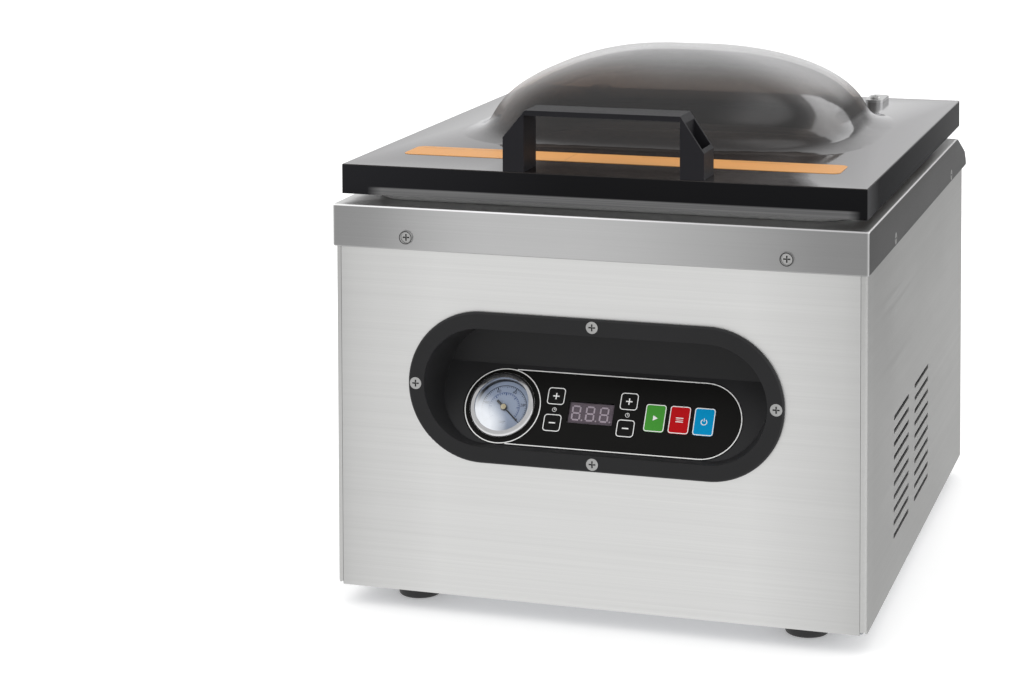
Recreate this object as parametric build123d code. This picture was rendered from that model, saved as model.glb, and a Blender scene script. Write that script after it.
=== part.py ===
from build123d import *
import math
import os

# Tabletop chamber vacuum sealer with a closed domed lid, in millimetres.
# X runs across the machine, Y from front (-) to rear (+), Z up from the table.

os.makedirs("parts", exist_ok=True)

# ---------------------------------------------------------------- driving dimensions
WIDTH = 360.0
HALF_W = WIDTH / 2
DEPTH = 440.0
Y_FRONT = -226.0
Y_REAR = Y_FRONT + DEPTH
FOOT_H = 14.0
Z_BASE = FOOT_H               # body underside
Z_FLOOR = Z_BASE + 1.5        # upper face of the base plate
SHEET = 1.2                   # panel sheet thickness
GAP = 0.05                    # clearance between neighbouring sheets
DECK_T = 1.5
SKIRT_OUT = 1.5               # deck skirt overhang
DECK_X = HALF_W + SKIRT_OUT
Y_SKIRT = Y_FRONT - SKIRT_OUT
Z_SKIRT = Z_BASE + 230.8      # lower edge of the skirt
Z_PANEL = Z_SKIRT + 1.2       # top of the body panels
Z_DECK = Z_BASE + 259.5       # deck top
Z_DECK_IN = Z_DECK - DECK_T
SLOPE_Y0, SLOPE_Y1, SLOPE_Z1 = 180.0, 221.5, 257.6  # rear slope of the deck
LID_Z0 = Z_DECK + 5.5
LID_Z1 = LID_Z0 + 20.0        # top of the lid plate
HINGE_X, HINGE_Y, HINGE_Z = 115.0, 220.0, 272.0

# chamber well
CH_X, CH_Y0, CH_Y1, CH_Z = 148.0, -188.0, 176.0, 200.0
CH_R, CH_FLOOR_R = 24.0, 10.0
TUB_T = 1.2
Z_TUB = CH_Z - TUB_T
SUCTION_PORT = (110.0, -112.0)
AIR_PORT = (-110.0, -112.0)
ROD_X, BAR_Y = 112.0, -168.0  # lift rods and seal bar
SWITCH_X, SWITCH_Y = -172.3, 60.0

# control bezel: a stadium of two arc centres
BEZEL_Z = Z_BASE + 142.0
BEZEL_HALF = 76.9             # half length between arc centres
BEZEL_R, OPENING_R = 50.5, 39.5
Y_BEZEL = Y_FRONT - 3.0
BEZEL_SCREWS = [(0.0, BEZEL_Z + 45.2), (0.0, BEZEL_Z - 45.2), (-122.2, BEZEL_Z), (122.2, BEZEL_Z)]

SIDES = (-1, 1)
FRONT, BACK, UP = (0, -1, 0), (0, 1, 0), (0, 0, 1)


# ---------------------------------------------------------------- helpers
def save(name, *items):
    solids = [solid for item in items for solid in item.solids()]
    shape = Compound(children=solids) if len(solids) > 1 else solids[0]
    shape.label = name
    export_step(shape, f"parts/{name}.step")


def box(x0, x1, y0, y1, z0, z1):
    centre = Pos((x0 + x1) / 2, (y0 + y1) / 2, (z0 + z1) / 2)
    return centre * Box(abs(x1 - x0), abs(y1 - y0), abs(z1 - z0))


def cyl_z(r, x, y, z0, z1):
    return Pos(x, y, (z0 + z1) / 2) * Cylinder(r, abs(z1 - z0))


def cyl_y(r, x, z, y0, y1):
    return Pos(x, (y0 + y1) / 2, z) * Rot(90, 0, 0) * Cylinder(r, abs(y1 - y0))


def cyl_x(r, y, z, x0, x1):
    return Pos((x0 + x1) / 2, y, z) * Rot(0, 90, 0) * Cylinder(r, abs(x1 - x0))


def round_box(x0, x1, y0, y1, z0, z1, r):
    """Box with rounded vertical edges."""
    outline = RectangleRounded(x1 - x0, y1 - y0, r)
    return Pos((x0 + x1) / 2, (y0 + y1) / 2, z0) * extrude(outline, z1 - z0)


def stadium_y(r, y0, y1, taper=0.0):
    """Stadium about the bezel centre, extruded towards +Y."""
    plane = Plane(origin=(0, y0, BEZEL_Z), x_dir=(1, 0, 0), z_dir=(0, 1, 0))
    return extrude(plane * SlotCenterToCenter(2 * BEZEL_HALF, 2 * r), y1 - y0, taper=taper)


def prism_x(points, x0, x1):
    """Polygon of (y, z) points, extruded along X."""
    plane = Plane(origin=(x0, 0, 0), x_dir=(0, 1, 0), z_dir=(1, 0, 0))
    return extrude(plane * make_face(Polyline(*points, close=True)), x1 - x0)


def prism_y(points, y0, y1):
    """Polygon of (x, z) points, extruded along Y."""
    plane = Plane(origin=(0, y0, 0), x_dir=(1, 0, 0), z_dir=(0, 1, 0))
    # local y of this plane points down
    outline = Polyline(*[(x, -z) for x, z in points], close=True)
    return extrude(plane * make_face(outline), y1 - y0)


def near(value, target, tol=0.01):
    return abs(value - target) < tol


def pick(shape, test):
    """Edges whose centre passes the test."""
    return [edge for edge in shape.edges() if test(edge.center())]


def fillet_if_possible(shape, edges, radius):
    # guards against the kernel refusing the fillet: the shape then stays sharp
    try:
        return fillet(edges, radius)
    except Exception:
        return shape


def largest(shape):
    return shape.solids().sort_by(SortBy.VOLUME)[-1]


def facing(x, y, z, out):
    return Plane(origin=(x, y, z), z_dir=out).location


def cut_cross(shape, z, length, width, depth):
    for angle in (0, 90):
        shape -= Pos(0, 0, z) * Rot(0, 0, angle) * Box(length, width, depth)
    return shape


def flat_screw(x, y, z, out, length):
    """Countersunk cross-head screw, its head face at the point."""
    head_r, shank_r = 4.0, 1.9
    screw = Pos(0, 0, -1.0) * Cone(shank_r, head_r, 2.0)
    screw += Pos(0, 0, -1.9 - (length - 2) / 2) * Cylinder(shank_r, length - 2)
    return facing(x, y, z, out) * cut_cross(screw, -0.55, head_r * 1.15, 0.95, 1.2)


def flat_screw_hole(x, y, z, out, length):
    head_r, shank_r, depth = 4.05, 2.0, 2.05
    hole = Pos(0, 0, -depth / 2 + 0.02) * Cone(shank_r, head_r, depth + 0.04)
    hole += Pos(0, 0, -length / 2) * Cylinder(shank_r, length)
    return facing(x, y, z, out) * hole


def pan_screw(x, y, z, out, head_r, head_h, length, shank_r):
    """Domed cross-head screw, its head seated on the point."""
    screw = Pos(0, 0, head_h / 2) * Cylinder(head_r, head_h)
    screw = fillet(screw.edges().group_by(Axis.Z)[-1], head_h * 0.7)
    screw = screw + Pos(0, 0, -length / 2 + 0.01) * Cylinder(shank_r, length + 0.02)
    return facing(x, y, z, out) * cut_cross(screw, head_h - 0.5, head_r * 1.0, 0.9, 1.1)


# control face frame: local x across, y up the slope, z out of the face
TILT = math.radians(35.0)     # slope of the face from upright
FACE_Y0, FACE_Z0 = Y_FRONT + 3.3, Z_BASE + 103.0  # lower line of the face
FACE_RISE = 27.05             # slope distance from that line to the centre
FACE = Plane(
    origin=(0, FACE_Y0 + FACE_RISE * math.sin(TILT), FACE_Z0 + FACE_RISE * math.cos(TILT)),
    x_dir=(1, 0, 0),
    z_dir=(0, -math.cos(TILT), math.sin(TILT)),
)


def on_face(shape):
    return FACE.location * shape


# ---------------------------------------------------------------- base and feet
FEET = [(x, y) for y in (Y_FRONT + 38.5, Y_REAR - 38.5) for x in (-134.5, 134.5)]


def base_plate():
    base = box(-177.0, 177.0, Y_FRONT + 2.6, Y_REAR - 1.3, Z_BASE, Z_FLOOR)
    # upturned lips: left, right, front, rear
    for x0, x1, y0, y1 in (
        (-177.0, -175.5, Y_FRONT + 6, Y_REAR - 4),
        (175.5, 177.0, Y_FRONT + 6, Y_REAR - 4),
        (-160, 160, Y_FRONT + 2.6, Y_FRONT + 4.1),
        (-160, 160, Y_REAR - 2.8, Y_REAR - 1.3),
    ):
        base += box(x0, x1, y0, y1, Z_BASE + 1.0, Z_BASE + 13)
    for x, y in FEET:
        base -= cyl_z(2.2, x, y, Z_BASE - 1, Z_BASE + 3)
    for i in range(7):
        for side in SIDES:
            base -= Pos(side * 70 + (i - 3) * 12, 120, Z_BASE + 0.75) * Box(5, 46, 4)
    return base


def foot(x, y):
    body = Pos(x, y, FOOT_H / 2) * Cone(14.2, 15.5, FOOT_H)
    body = fillet(body.edges().group_by(Axis.Z)[0], 1.6)
    body -= cyl_z(5.0, x, y, -1, 6.0)
    body -= cyl_z(2.2, x, y, 5, FOOT_H + 1)
    return body


def foot_screw(x, y):
    screw = cyl_z(4.4, x, y, 3.6, 6.0) + cyl_z(2.0, x, y, 5.9, Z_BASE + 7.0)
    screw -= Pos(x, y, 3.9) * Box(5.5, 1.0, 1.6) + Pos(x, y, 3.9) * Box(1.0, 5.5, 1.6)
    return screw


def foot_nut(x, y):
    nut = extrude(Plane.XY.offset(Z_FLOOR) * RegularPolygon(4.0, 6), 3.0)
    return Pos(x, y, 0) * nut - cyl_z(2.0, x, y, Z_BASE, Z_BASE + 6)


save("base_plate", base_plate())
save("rubber_feet", *[foot(x, y) for x, y in FEET])
save("foot_screws", *[make(x, y) for x, y in FEET for make in (foot_screw, foot_nut)])

# ---------------------------------------------------------------- body panels
INLET_X, INLET_Z = -118.0, 60.0
INLET_SCREW_X = (INLET_X - 20, INLET_X + 20)
BACK_SCREWS = [(x, z) for z in (40, 130, 215) for x in (-168, 168)]


def front_panel():
    panel = box(-175.75, 175.75, Y_FRONT, Y_FRONT + SHEET, Z_BASE, Z_PANEL)
    panel -= stadium_y(OPENING_R + 3.4, Y_FRONT - 1, Y_FRONT + 3)
    for x, z in BEZEL_SCREWS:
        panel -= cyl_y(2.1, x, z, Y_FRONT - 1, Y_FRONT + 3)
    panel += box(-170, 170, Y_FRONT + SHEET - 0.01, Y_FRONT + 12, Z_SKIRT, Z_PANEL)
    return panel


def right_side_panel():
    """Wraps round the front corner, with return flanges behind the front and back panels."""
    r = 4.0
    x_bend, y_bend = HALF_W - r, Y_FRONT + r
    flange_y = Y_FRONT + SHEET + GAP
    flange_z = (Z_BASE + 14, Z_SKIRT - 4)
    plate = box(HALF_W - SHEET, HALF_W, y_bend, Y_REAR, Z_BASE, Z_PANEL)
    corner = Pos(x_bend, y_bend, 0) * (
        cyl_z(r, 0, 0, Z_BASE, Z_PANEL) - cyl_z(r - SHEET, 0, 0, Z_BASE - 1, Z_SKIRT + 3)
    )
    corner &= box(x_bend, HALF_W, Y_FRONT, y_bend, Z_BASE, Z_PANEL)
    flange = box(x_bend - 0.9, x_bend + 0.2, Y_FRONT + 0.25, flange_y + SHEET, Z_BASE + 2, Z_PANEL)
    flange -= box(x_bend - 2, x_bend, Y_FRONT - 1, flange_y, 0, 300)
    flange += box(162, x_bend, flange_y, flange_y + SHEET, *flange_z)
    panel = plate + corner + flange
    panel -= box(x_bend - 2, 181, Y_FRONT - 1, y_bend, 0, Z_BASE + 2)
    panel += box(150, HALF_W - 0.6, Y_REAR - 2 * SHEET - GAP, Y_REAR - SHEET - GAP, *flange_z)
    for y in (Y_FRONT + 140.05, Y_FRONT + 231.0):
        for i in range(10):
            slot = extrude(SlotOverall(65.0, 3.2, rotation=90), 3, both=True)
            panel -= Pos(HALF_W, y, Z_BASE + 32 + 9.0 * i) * Rot(0, 90, 0) * slot
    return panel


def back_panel():
    panel = box(-178.7, 178.7, Y_REAR - SHEET, Y_REAR, Z_BASE, Z_PANEL)
    panel -= Pos(INLET_X, Y_REAR - 1, INLET_Z) * Box(28.4, 6, 24.4)
    for x in INLET_SCREW_X:
        panel -= cyl_y(1.8, x, INLET_Z, Y_REAR - 4, Y_REAR + 1)
    for i in range(9):
        slot = extrude(SlotOverall(90.0, 3.2), 4, both=True)
        panel -= Pos(60, Y_REAR, Z_BASE + 40 + 9.0 * i) * Rot(90, 0, 0) * slot
    for x, z in BACK_SCREWS:
        panel -= cyl_y(1.75, x, z, Y_REAR - 4, Y_REAR + 1)
    return panel


save("front_panel", front_panel())
save("right_side_panel", right_side_panel())
save("left_side_panel", mirror(right_side_panel(), about=Plane.YZ))
save("back_panel", back_panel())

# ---------------------------------------------------------------- deck
# x, y, z, outward direction
SKIRT_SCREWS = [(x, Y_SKIRT, Z_SKIRT + 8.6, FRONT) for x in (-128.9, 128.6)] + [
    (side * DECK_X, Y_FRONT + dy, Z_SKIRT + 5.6, (side, 0, 0))
    for dy in (103.0, 370.0)
    for side in SIDES
]
DECK_BACK_Y, DECK_BACK_Z = 229.0, 248.5  # top of the upright rear face
# (y, z) sections of the outside and of the hollow
DECK_OUTER = [
    (Y_SKIRT, Z_SKIRT), (Y_SKIRT, Z_DECK), (SLOPE_Y0, Z_DECK), (SLOPE_Y1, SLOPE_Z1),
    (DECK_BACK_Y, DECK_BACK_Z), (DECK_BACK_Y, Z_SKIRT),
]
DECK_INNER = [
    (Y_FRONT - GAP, Z_SKIRT - 5), (Y_FRONT - GAP, Z_DECK_IN), (179.3, Z_DECK_IN),
    (219.8, 256.8), (227.0, 247.4), (227.0, Z_SKIRT + 1.9),
    (Y_REAR + GAP, Z_SKIRT + 1.9), (Y_REAR + GAP, Z_SKIRT - 5),
]


def front_corner(c):
    return near(c.Y, Y_SKIRT) and near(abs(c.X), DECK_X)


def rear_bend(c):
    at_bend = near(c.Z, SLOPE_Z1, 0.6) or near(c.Z, DECK_BACK_Z, 0.6)
    return near(c.X, 0) and at_bend and c.Y > 200


def deck_rim(c):
    upright_corner = near(c.Y, Y_SKIRT, 3) and c.Z < Z_DECK - 2
    side_edge = near(abs(c.X), DECK_X) and c.Z > Z_SKIRT + 2 and not upright_corner
    return side_edge or (near(c.Z, Z_DECK) and c.Y < Y_FRONT + 2)


def top_deck():
    deck = prism_x(DECK_OUTER, -DECK_X, DECK_X)
    deck = fillet(pick(deck, front_corner), 2.2)
    deck = fillet(pick(deck, rear_bend), 7.0)
    deck = fillet(pick(deck, lambda c: near(c.X, 0) and near(c.Y, SLOPE_Y0, 0.6)), 30.0)
    lower_rear = pick(deck, lambda c: near(c.X, 0) and c.Z < Z_SKIRT + 0.1 and c.Y > 200)
    deck = fillet(lower_rear, 1.8)
    deck = fillet_if_possible(deck, pick(deck, deck_rim), 1.3)
    deck -= prism_x(DECK_INNER, -HALF_W - GAP, HALF_W + GAP)
    deck -= round_box(-CH_X, CH_X, CH_Y0, CH_Y1, 260, 280, CH_R)
    deck -= cyl_z(2.6, SWITCH_X, SWITCH_Y, 265, 280)
    for place in SKIRT_SCREWS:
        deck -= flat_screw_hole(*place, length=5)
    return deck


save("top_deck", top_deck())
save("deck_screws", *[flat_screw(*place, length=10) for place in SKIRT_SCREWS])


# ---------------------------------------------------------------- chamber
def chamber_tub():
    rim_z = Z_DECK_IN - TUB_T
    tub = round_box(-CH_X - 12, CH_X + 12, CH_Y0 - 12, CH_Y1 + 2.5, rim_z, Z_DECK_IN, CH_R + 6)
    tub += round_box(
        -CH_X - TUB_T, CH_X + TUB_T, CH_Y0 - TUB_T, CH_Y1 + TUB_T,
        Z_TUB, Z_DECK_IN - 0.5, CH_R + TUB_T,
    )
    floor_edges = pick(tub, lambda c: near(c.Z, Z_TUB))
    tub = fillet_if_possible(tub, floor_edges, CH_FLOOR_R + TUB_T)
    well = round_box(-CH_X, CH_X, CH_Y0, CH_Y1, CH_Z, 290, CH_R)
    tub -= fillet(pick(well, lambda c: near(c.Z, CH_Z)), CH_FLOOR_R)
    for side in SIDES:
        tub -= cyl_z(6.0, side * ROD_X, BAR_Y, 190, 205)
    tub -= cyl_z(6.05, *SUCTION_PORT, 190, 205)
    tub -= cyl_z(4.05, *AIR_PORT, 190, 205)
    return tub


def suction_port_cover():
    x, y = SUCTION_PORT
    cover = round_box(x - 20, x + 20, y - 20, y + 20, 206.0, 207.2, 6)
    for dx in (-15, 15):
        for dy in (-15, 15):
            cover += cyl_z(2.5, x + dx, y + dy, CH_Z, 206.1)
    for i in range(-2, 3):
        cover -= Pos(x + i * 6, y, 206.6) * Box(2.4, 24, 3)
    return cover


def filler_plate():
    plate = round_box(-132, 132, -84, 164, CH_Z + 0.05, CH_Z + 9, 14)
    plate = fillet(plate.edges().group_by(Axis.Z)[-1], 1.5)
    for side in SIDES:
        x = side * 70
        plate -= round_box(x - 16, x + 16, 36, 44, CH_Z - 1, CH_Z + 12, 3.9)
    return plate


save("chamber_tub", chamber_tub())
save("suction_port_cover", suction_port_cover())
save("filler_plate", filler_plate())


# ---------------------------------------------------------------- seal bar and lift
def along_bar(half_x, half_y, z0, z1):
    """Box centred on the seal bar line."""
    return box(-half_x, half_x, BAR_Y - half_y, BAR_Y + half_y, z0, z1)


def seal_bar():
    bar = along_bar(143, 9, 222, 252) - along_bar(150, 5.5, 218, 236)
    for side in (1, -1):
        bar = bar + Pos(side * ROD_X, BAR_Y, 224) * Box(16, 11.2, 4)
    return bar


def heating_wires():
    wires = []
    for dy, width in ((-3.2, 3.4), (2.4, 1.4)):
        y = BAR_Y + dy
        wires.append(box(-139, 139, y - width / 2, y + width / 2, 254, 254.35))
    for side in SIDES:
        wires.append(box(side * 143, side * 145.2, BAR_Y - 5, BAR_Y + 5, 236, 253.5))
    return wires


def seal_bar_tape():
    tape = along_bar(141.5, 9.35, 244, 254.55)
    tape -= along_bar(150, 9.05, 240, 252.02)
    tape -= along_bar(150, 7.55, 251.9, 254.37)
    return tape


def lift_rod(x):
    return cyl_z(4.0, x, BAR_Y, 146, 222) + cyl_z(10.9, x, BAR_Y, 142, 150)


def lift_cylinder(x, side):
    body = cyl_z(15.0, x, BAR_Y, 120, 192.5) - cyl_z(11.0, x, BAR_Y, 126, 186)
    body -= cyl_z(4.05, x, BAR_Y, 180, 200)
    body -= cyl_x(2.5, BAR_Y, 130, x + side * 5, x + side * 20)
    return body


def lift_bush(x):
    bush = cyl_z(9.5, x, BAR_Y, 192.5, Z_TUB) + cyl_z(5.9, x, BAR_Y, Z_TUB - 0.1, CH_Z + 4)
    return bush - cyl_z(4.05, x, BAR_Y, 190, 210)


save("seal_bar", seal_bar())
save("seal_bar_insulator", along_bar(141, 7.5, 252, 254))
save("heating_wires", *heating_wires())
save("seal_bar_tape", seal_bar_tape())
save("lift_rods", *[lift_rod(side * ROD_X) for side in SIDES])
save(
    "lift_cylinders",
    *[lift_cylinder(side * ROD_X, side) for side in SIDES],
    *[lift_bush(side * ROD_X) for side in SIDES],
)

# ---------------------------------------------------------------- lid
DOME_A, DOME_B, DOME_H = 133.5, 117.5, 60.2  # half width, half depth, height
DOME_Y = 16.5
DOME_T = 5.0                  # wall
PLAN_POWER, RISE_POWER = 3.4, 2.08  # superellipse exponents in plan and elevation
FLARE, FLARE_RUN = 17.0, 3.4  # spread at the dome foot and its decay height
# section heights above the plate
FLARED_FOOT = (0.30, 1.0, 2.1, 3.7, 6.0, 9.2, 13.2, 18.2)
PLAIN_FOOT = (3.0, 9.0, 14.0, 18.5)
UPPER_DOME = (24.0, 30.0, 36.0, 41.5, 46.2, 50.2, 53.4, 55.9, 57.7, 58.9, 59.6, 59.95, 60.12)
GASKET_X, GASKET_Y0, GASKET_Y1 = 164.0, -204.0, 192.0
GASKET_W, GASKET_R = 8.0, 27.0


def superellipse(a, b, z, count=48):
    points = []
    for i in range(count):
        angle = 2 * math.pi * i / count
        c, s = math.cos(angle), math.sin(angle)
        x = math.copysign(abs(c) ** (2 / PLAN_POWER), c) * a
        y = DOME_Y + math.copysign(abs(s) ** (2 / PLAN_POWER), s) * b
        points.append((x, y, z))
    return make_face(Spline(*points, periodic=True))


def dome(a, b, height, flare):
    """Superelliptic dome; a flare runs its foot out onto the plate."""
    if flare > 0:
        sections = [superellipse(a + flare + 4.0, b + flare + 4.0, LID_Z1 - 0.6)]
        foot_heights = FLARED_FOOT
    else:
        # straight stem through the plate
        sections = [superellipse(a, b, LID_Z1 + z) for z in (-30.0, -24.0, -18.0, -12.0, -6.0)]
        foot_heights = PLAIN_FOOT
    for z in foot_heights + UPPER_DOME:
        scale = (1 - (z / DOME_H) ** RISE_POWER) ** (1 / RISE_POWER)
        spread = flare * math.exp(-(z - 0.3) / FLARE_RUN)
        level = LID_Z1 + z * height / DOME_H
        sections.append(superellipse(a * scale + spread, b * scale + spread, level))
    return loft(sections)


def gasket_outline(inset, z0, z1, r):
    return round_box(
        -GASKET_X + inset, GASKET_X - inset, GASKET_Y0 + inset, GASKET_Y1 - inset, z0, z1, r
    )


def lid_shell():
    plate = box(-178.5, 178.5, -217.5, 210.5, LID_Z0, LID_Z1)
    plate = fillet(plate.edges().filter_by(Axis.Z), 1.2)
    plate = chamfer(plate.edges().group_by(Axis.Z)[-1], 0.5)
    outer = dome(DOME_A, DOME_B, DOME_H, FLARE)
    inner = dome(DOME_A - DOME_T, DOME_B - DOME_T, DOME_H - DOME_T, 0)
    lid = plate + outer - inner
    groove = gasket_outline(-GAP, LID_Z0 - 1, LID_Z0 + 6, GASKET_R)
    groove -= gasket_outline(GASKET_W + GAP, LID_Z0 - 2, LID_Z0 + 7, GASKET_R - GASKET_W)
    return lid - groove


def lid_gasket():
    gasket = gasket_outline(0, Z_DECK + 0.05, LID_Z0 + 5.95, GASKET_R)
    gasket = fillet(gasket.edges().group_by(Axis.Z)[0], 1.8)
    return gasket - gasket_outline(GASKET_W, Z_DECK - 2, LID_Z0 + 9, GASKET_R - GASKET_W)


def counter_bar_pad():
    z0 = LID_Z0 - 13
    pad = along_bar(140, 6, z0, LID_Z0 - 2.02)
    return fillet(pick(pad, lambda c: near(c.Z, z0) and near(c.X, 0)), 1.5)


def lid_handle():
    """Hollow rectangular profile with cut upper corners."""
    x0, x1, y0, y1 = -64.5, 72.0, -216.8, -189.0
    z0, z1 = LID_Z1, LID_Z1 + 41.2
    leg, wall = 14.5, 1.7
    outline = [
        (x0, z0), (x0, z1 - 18.5), (x0 + 15.4, z1),
        (x1 - 15.8, z1), (x1, z1 - 23.5), (x1, z0),
    ]
    handle = prism_y(outline, y0, y1)
    in0, in1, in_top = x0 + leg, x1 - leg - 1.5, z1 - 3.4
    opening = [(in0, z0 - 1), (in0, in_top), (in1, in_top), (in1, z0 - 1)]
    handle -= prism_y(opening, y0 - 1, y1 + 1)
    for side, x in ((-1, x0), (1, x1)):
        # leg cavities, open on the sloping corners
        inner_x, outer_x = x - side * (leg - wall), x - side * wall
        handle -= box(inner_x, outer_x, y0 + 2.2, y1 - 2.2, z0 + 6, z1 + 1)
    for x in (x0 + 7.0, x1 - 7.0):
        for y in (y0 + 8, y1 - 8):
            handle -= cyl_z(1.6, x, y, z0 - 1, z0 + 5.9)
    return largest(handle)


save("lid_shell", lid_shell())
save("lid_gasket", lid_gasket())
rail = along_bar(140, 9, LID_Z0 - 9, LID_Z0) - along_bar(150, 6.05, LID_Z0 - 10, LID_Z0 - 2)
save("counter_bar_rail", rail)
save("counter_bar_pad", counter_bar_pad())
save("lid_handle", lid_handle())
label = round_box(-153.5, 151.0, Y_FRONT + 60.0, Y_FRONT + 95.5, LID_Z1, LID_Z1 + 0.3, 6)
save("lid_label", label)

# ---------------------------------------------------------------- hinges
HINGES = [side * HINGE_X for side in SIDES]
STRAP_T = 1.9
Z_STRAP = LID_Z1 + STRAP_T
STRAP_Y0, STRAP_SCREW_Y = 179.0, 189.0


def on_hinge(r, x0, x1):
    """Cylinder on the hinge axis."""
    return cyl_x(r, HINGE_Y, HINGE_Z, x0, x1)


def hinge_strap(x):
    strap = box(x - 7, x + 7, STRAP_Y0, 211.5, LID_Z1, Z_STRAP)
    corners = pick(strap, lambda c: near(c.Y, STRAP_Y0) and near(abs(c.X - x), 7))
    strap = fillet(corners, 5.0)
    strap += box(x - 5, x + 5, 205.0, 216.0, LID_Z1, Z_STRAP)
    strap += box(x - 5, x + 5, 213.4, 216.0, HINGE_Z - 2, Z_STRAP)
    strap += on_hinge(5.0, x - 5, x + 5)
    strap -= on_hinge(2.55, x - 6, x + 6)
    bend = pick(strap, lambda c: near(c.X, x) and near(c.Z, Z_STRAP) and c.Y > 215)
    strap = fillet_if_possible(strap, bend, 1.8)
    return strap - cyl_z(2.1, x, STRAP_SCREW_Y, LID_Z1 - 1, LID_Z1 + 5)


def hinge_bracket(x):
    """Plate on the deck slope with two ears that carry the pin."""
    y, ear_r = 205.0, 5.5
    slope = math.atan2(SLOPE_Z1 - Z_DECK, SLOPE_Y1 - SLOPE_Y0)
    deck_z = Z_DECK + (y - SLOPE_Y0) * math.tan(slope)
    plate_z = deck_z + 1.12 / math.cos(slope)
    bracket = Pos(x, y, plate_z) * Rot(math.degrees(slope), 0, 0) * Box(44, 20, 2.0)
    ear_outline = [
        (206.5, deck_z + 1.0), (HINGE_Y - ear_r, HINGE_Z),
        (HINGE_Y + ear_r, HINGE_Z), (217.5, deck_z - 2.6),
    ]
    for side in SIDES:
        x0, x1 = x + side * 14 - 1.25, x + side * 14 + 1.25
        bracket += prism_x(ear_outline, x0, x1) + on_hinge(ear_r, x0, x1)
    # trim to just above the deck
    under_deck = [
        (170, 265), (SLOPE_Y0, Z_DECK + 0.02), (SLOPE_Y1, SLOPE_Z1 + 0.02),
        (240, 235), (240, 200), (170, 200),
    ]
    bracket -= prism_x(under_deck, x - 30, x + 30)
    bracket -= on_hinge(2.52, x - 40, x + 40)
    return largest(bracket)


def hinge_pin(x):
    heads = on_hinge(4.0, x - 19.5, x - 17.2), on_hinge(4.0, x + 17.2, x + 19.5)
    return on_hinge(2.5, x - 18, x + 18) + heads[0] + heads[1]


def hinge_spring(x0):
    coil = Helix(pitch=1.6, height=6.4, radius=3.7)
    path = Pos(x0, HINGE_Y, HINGE_Z) * Rot(0, 90, 0) * coil
    wire = Plane(origin=path @ 0, z_dir=path % 0) * Circle(0.55)
    return sweep(wire, path=path, is_frenet=True)


def strap_screw(x):
    return pan_screw(
        x, STRAP_SCREW_Y, Z_STRAP, UP, head_r=3.9, head_h=2.1, length=STRAP_T - 0.1, shank_r=2.0
    )


save("lid_hinge_straps", *[hinge_strap(x) for x in HINGES])
save("lid_hinge_brackets", *[hinge_bracket(x) for x in HINGES])
save("lid_hinge_pins", *[hinge_pin(x) for x in HINGES])
save("lid_hinge_springs", *[hinge_spring(x + dx) for x in HINGES for dx in (-12.0, 5.6)])
save("strap_screws", *[strap_screw(x) for x in HINGES])


# ---------------------------------------------------------------- lid switch
def lid_switch():
    x, y = SWITCH_X, SWITCH_Y
    switch = box(x - 6.2, x + 6.2, y - 14, y + 14, 248.5, 261.9)
    for dy in (-10, 10):
        switch -= cyl_z(1.0, x, y + dy, 240, 270)
    return switch + box(x - 5.2, x + 5.2, y + 9, y + 14, 261.5, Z_DECK_IN)


plunger = cyl_z(2.5, SWITCH_X, SWITCH_Y, 262, LID_Z0 - 0.1)
save("lid_switch_plunger", fillet(plunger.edges().group_by(Axis.Z)[-1], 1.0))
save("lid_switch", lid_switch())

# ---------------------------------------------------------------- control bezel and face
POCKET_DEPTH = 36.0
GAUGE_X = -68.0
GAUGE_HOLE_R = 20.3
DISPLAY_X, DISPLAY_Y = -6.8, -0.6
# on the control face: centre x, centre y, width, height
KEYS = {
    "vacuum_plus_key": (-31.9, 9.3, 12.4, 12.2),
    "vacuum_minus_key": (-31.9, -9.3, 12.4, 12.2),
    "seal_plus_key": (18.3, 9.3, 12.4, 12.2),
    "seal_minus_key": (18.3, -9.3, 12.4, 12.2),
    "start_key": (37.2, -0.7, 14.0, 19.0),
    "seal_key": (53.7, -0.7, 14.0, 19.0),
    "power_key": (70.2, -0.7, 14.0, 19.0),
}
# parts of one digit, from its centre: x, y, width, height
SEGMENTS = [
    (0, 4.6, 4.2, 1.0), (0, -0.1, 4.2, 1.0), (0, -4.8, 4.2, 1.0),
    (-2.6, 2.3, 1.0, 3.6), (2.6, 2.3, 1.0, 3.6),
    (-2.6, -2.5, 1.0, 3.6), (2.6, -2.5, 1.0, 3.6),
    (4.4, -4.8, 0.9, 0.9),
]


def control_bezel():
    rim = stadium_y(BEZEL_R, Y_BEZEL, Y_FRONT)
    rim = fillet(pick(rim, lambda c: near(c.Y, Y_BEZEL)), 1.6)
    back_y = Y_FRONT + POCKET_DEPTH
    pocket = stadium_y(OPENING_R, Y_BEZEL - 0.01, back_y, taper=9.0)
    pan = stadium_y(OPENING_R + 3.2, Y_FRONT - 0.01, back_y + 2.2, taper=7.0)
    # material stays below the sloping face, down to a wall 3.2 thick
    below_face = on_face(Pos(0, 0, -60.0) * Box(400, 260, 120))
    below_wall = on_face(Pos(0, 0, -63.2) * Box(400, 260, 120))
    bezel = (rim + pan) - (pocket - below_face)
    bezel -= stadium_y(OPENING_R + 0.8, Y_FRONT + 1.5, Y_FRONT + 80, taper=7.0) & below_wall
    bezel -= on_face(Pos(GAUGE_X, 0, -10) * Cylinder(GAUGE_HOLE_R, 40))
    bezel -= on_face(Pos(19.5, 0, -3) * Box(123, 31, 12))
    for x, z in BEZEL_SCREWS:
        bezel -= flat_screw_hole(x, Y_BEZEL, z, FRONT, length=12)
    return largest(bezel)


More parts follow.
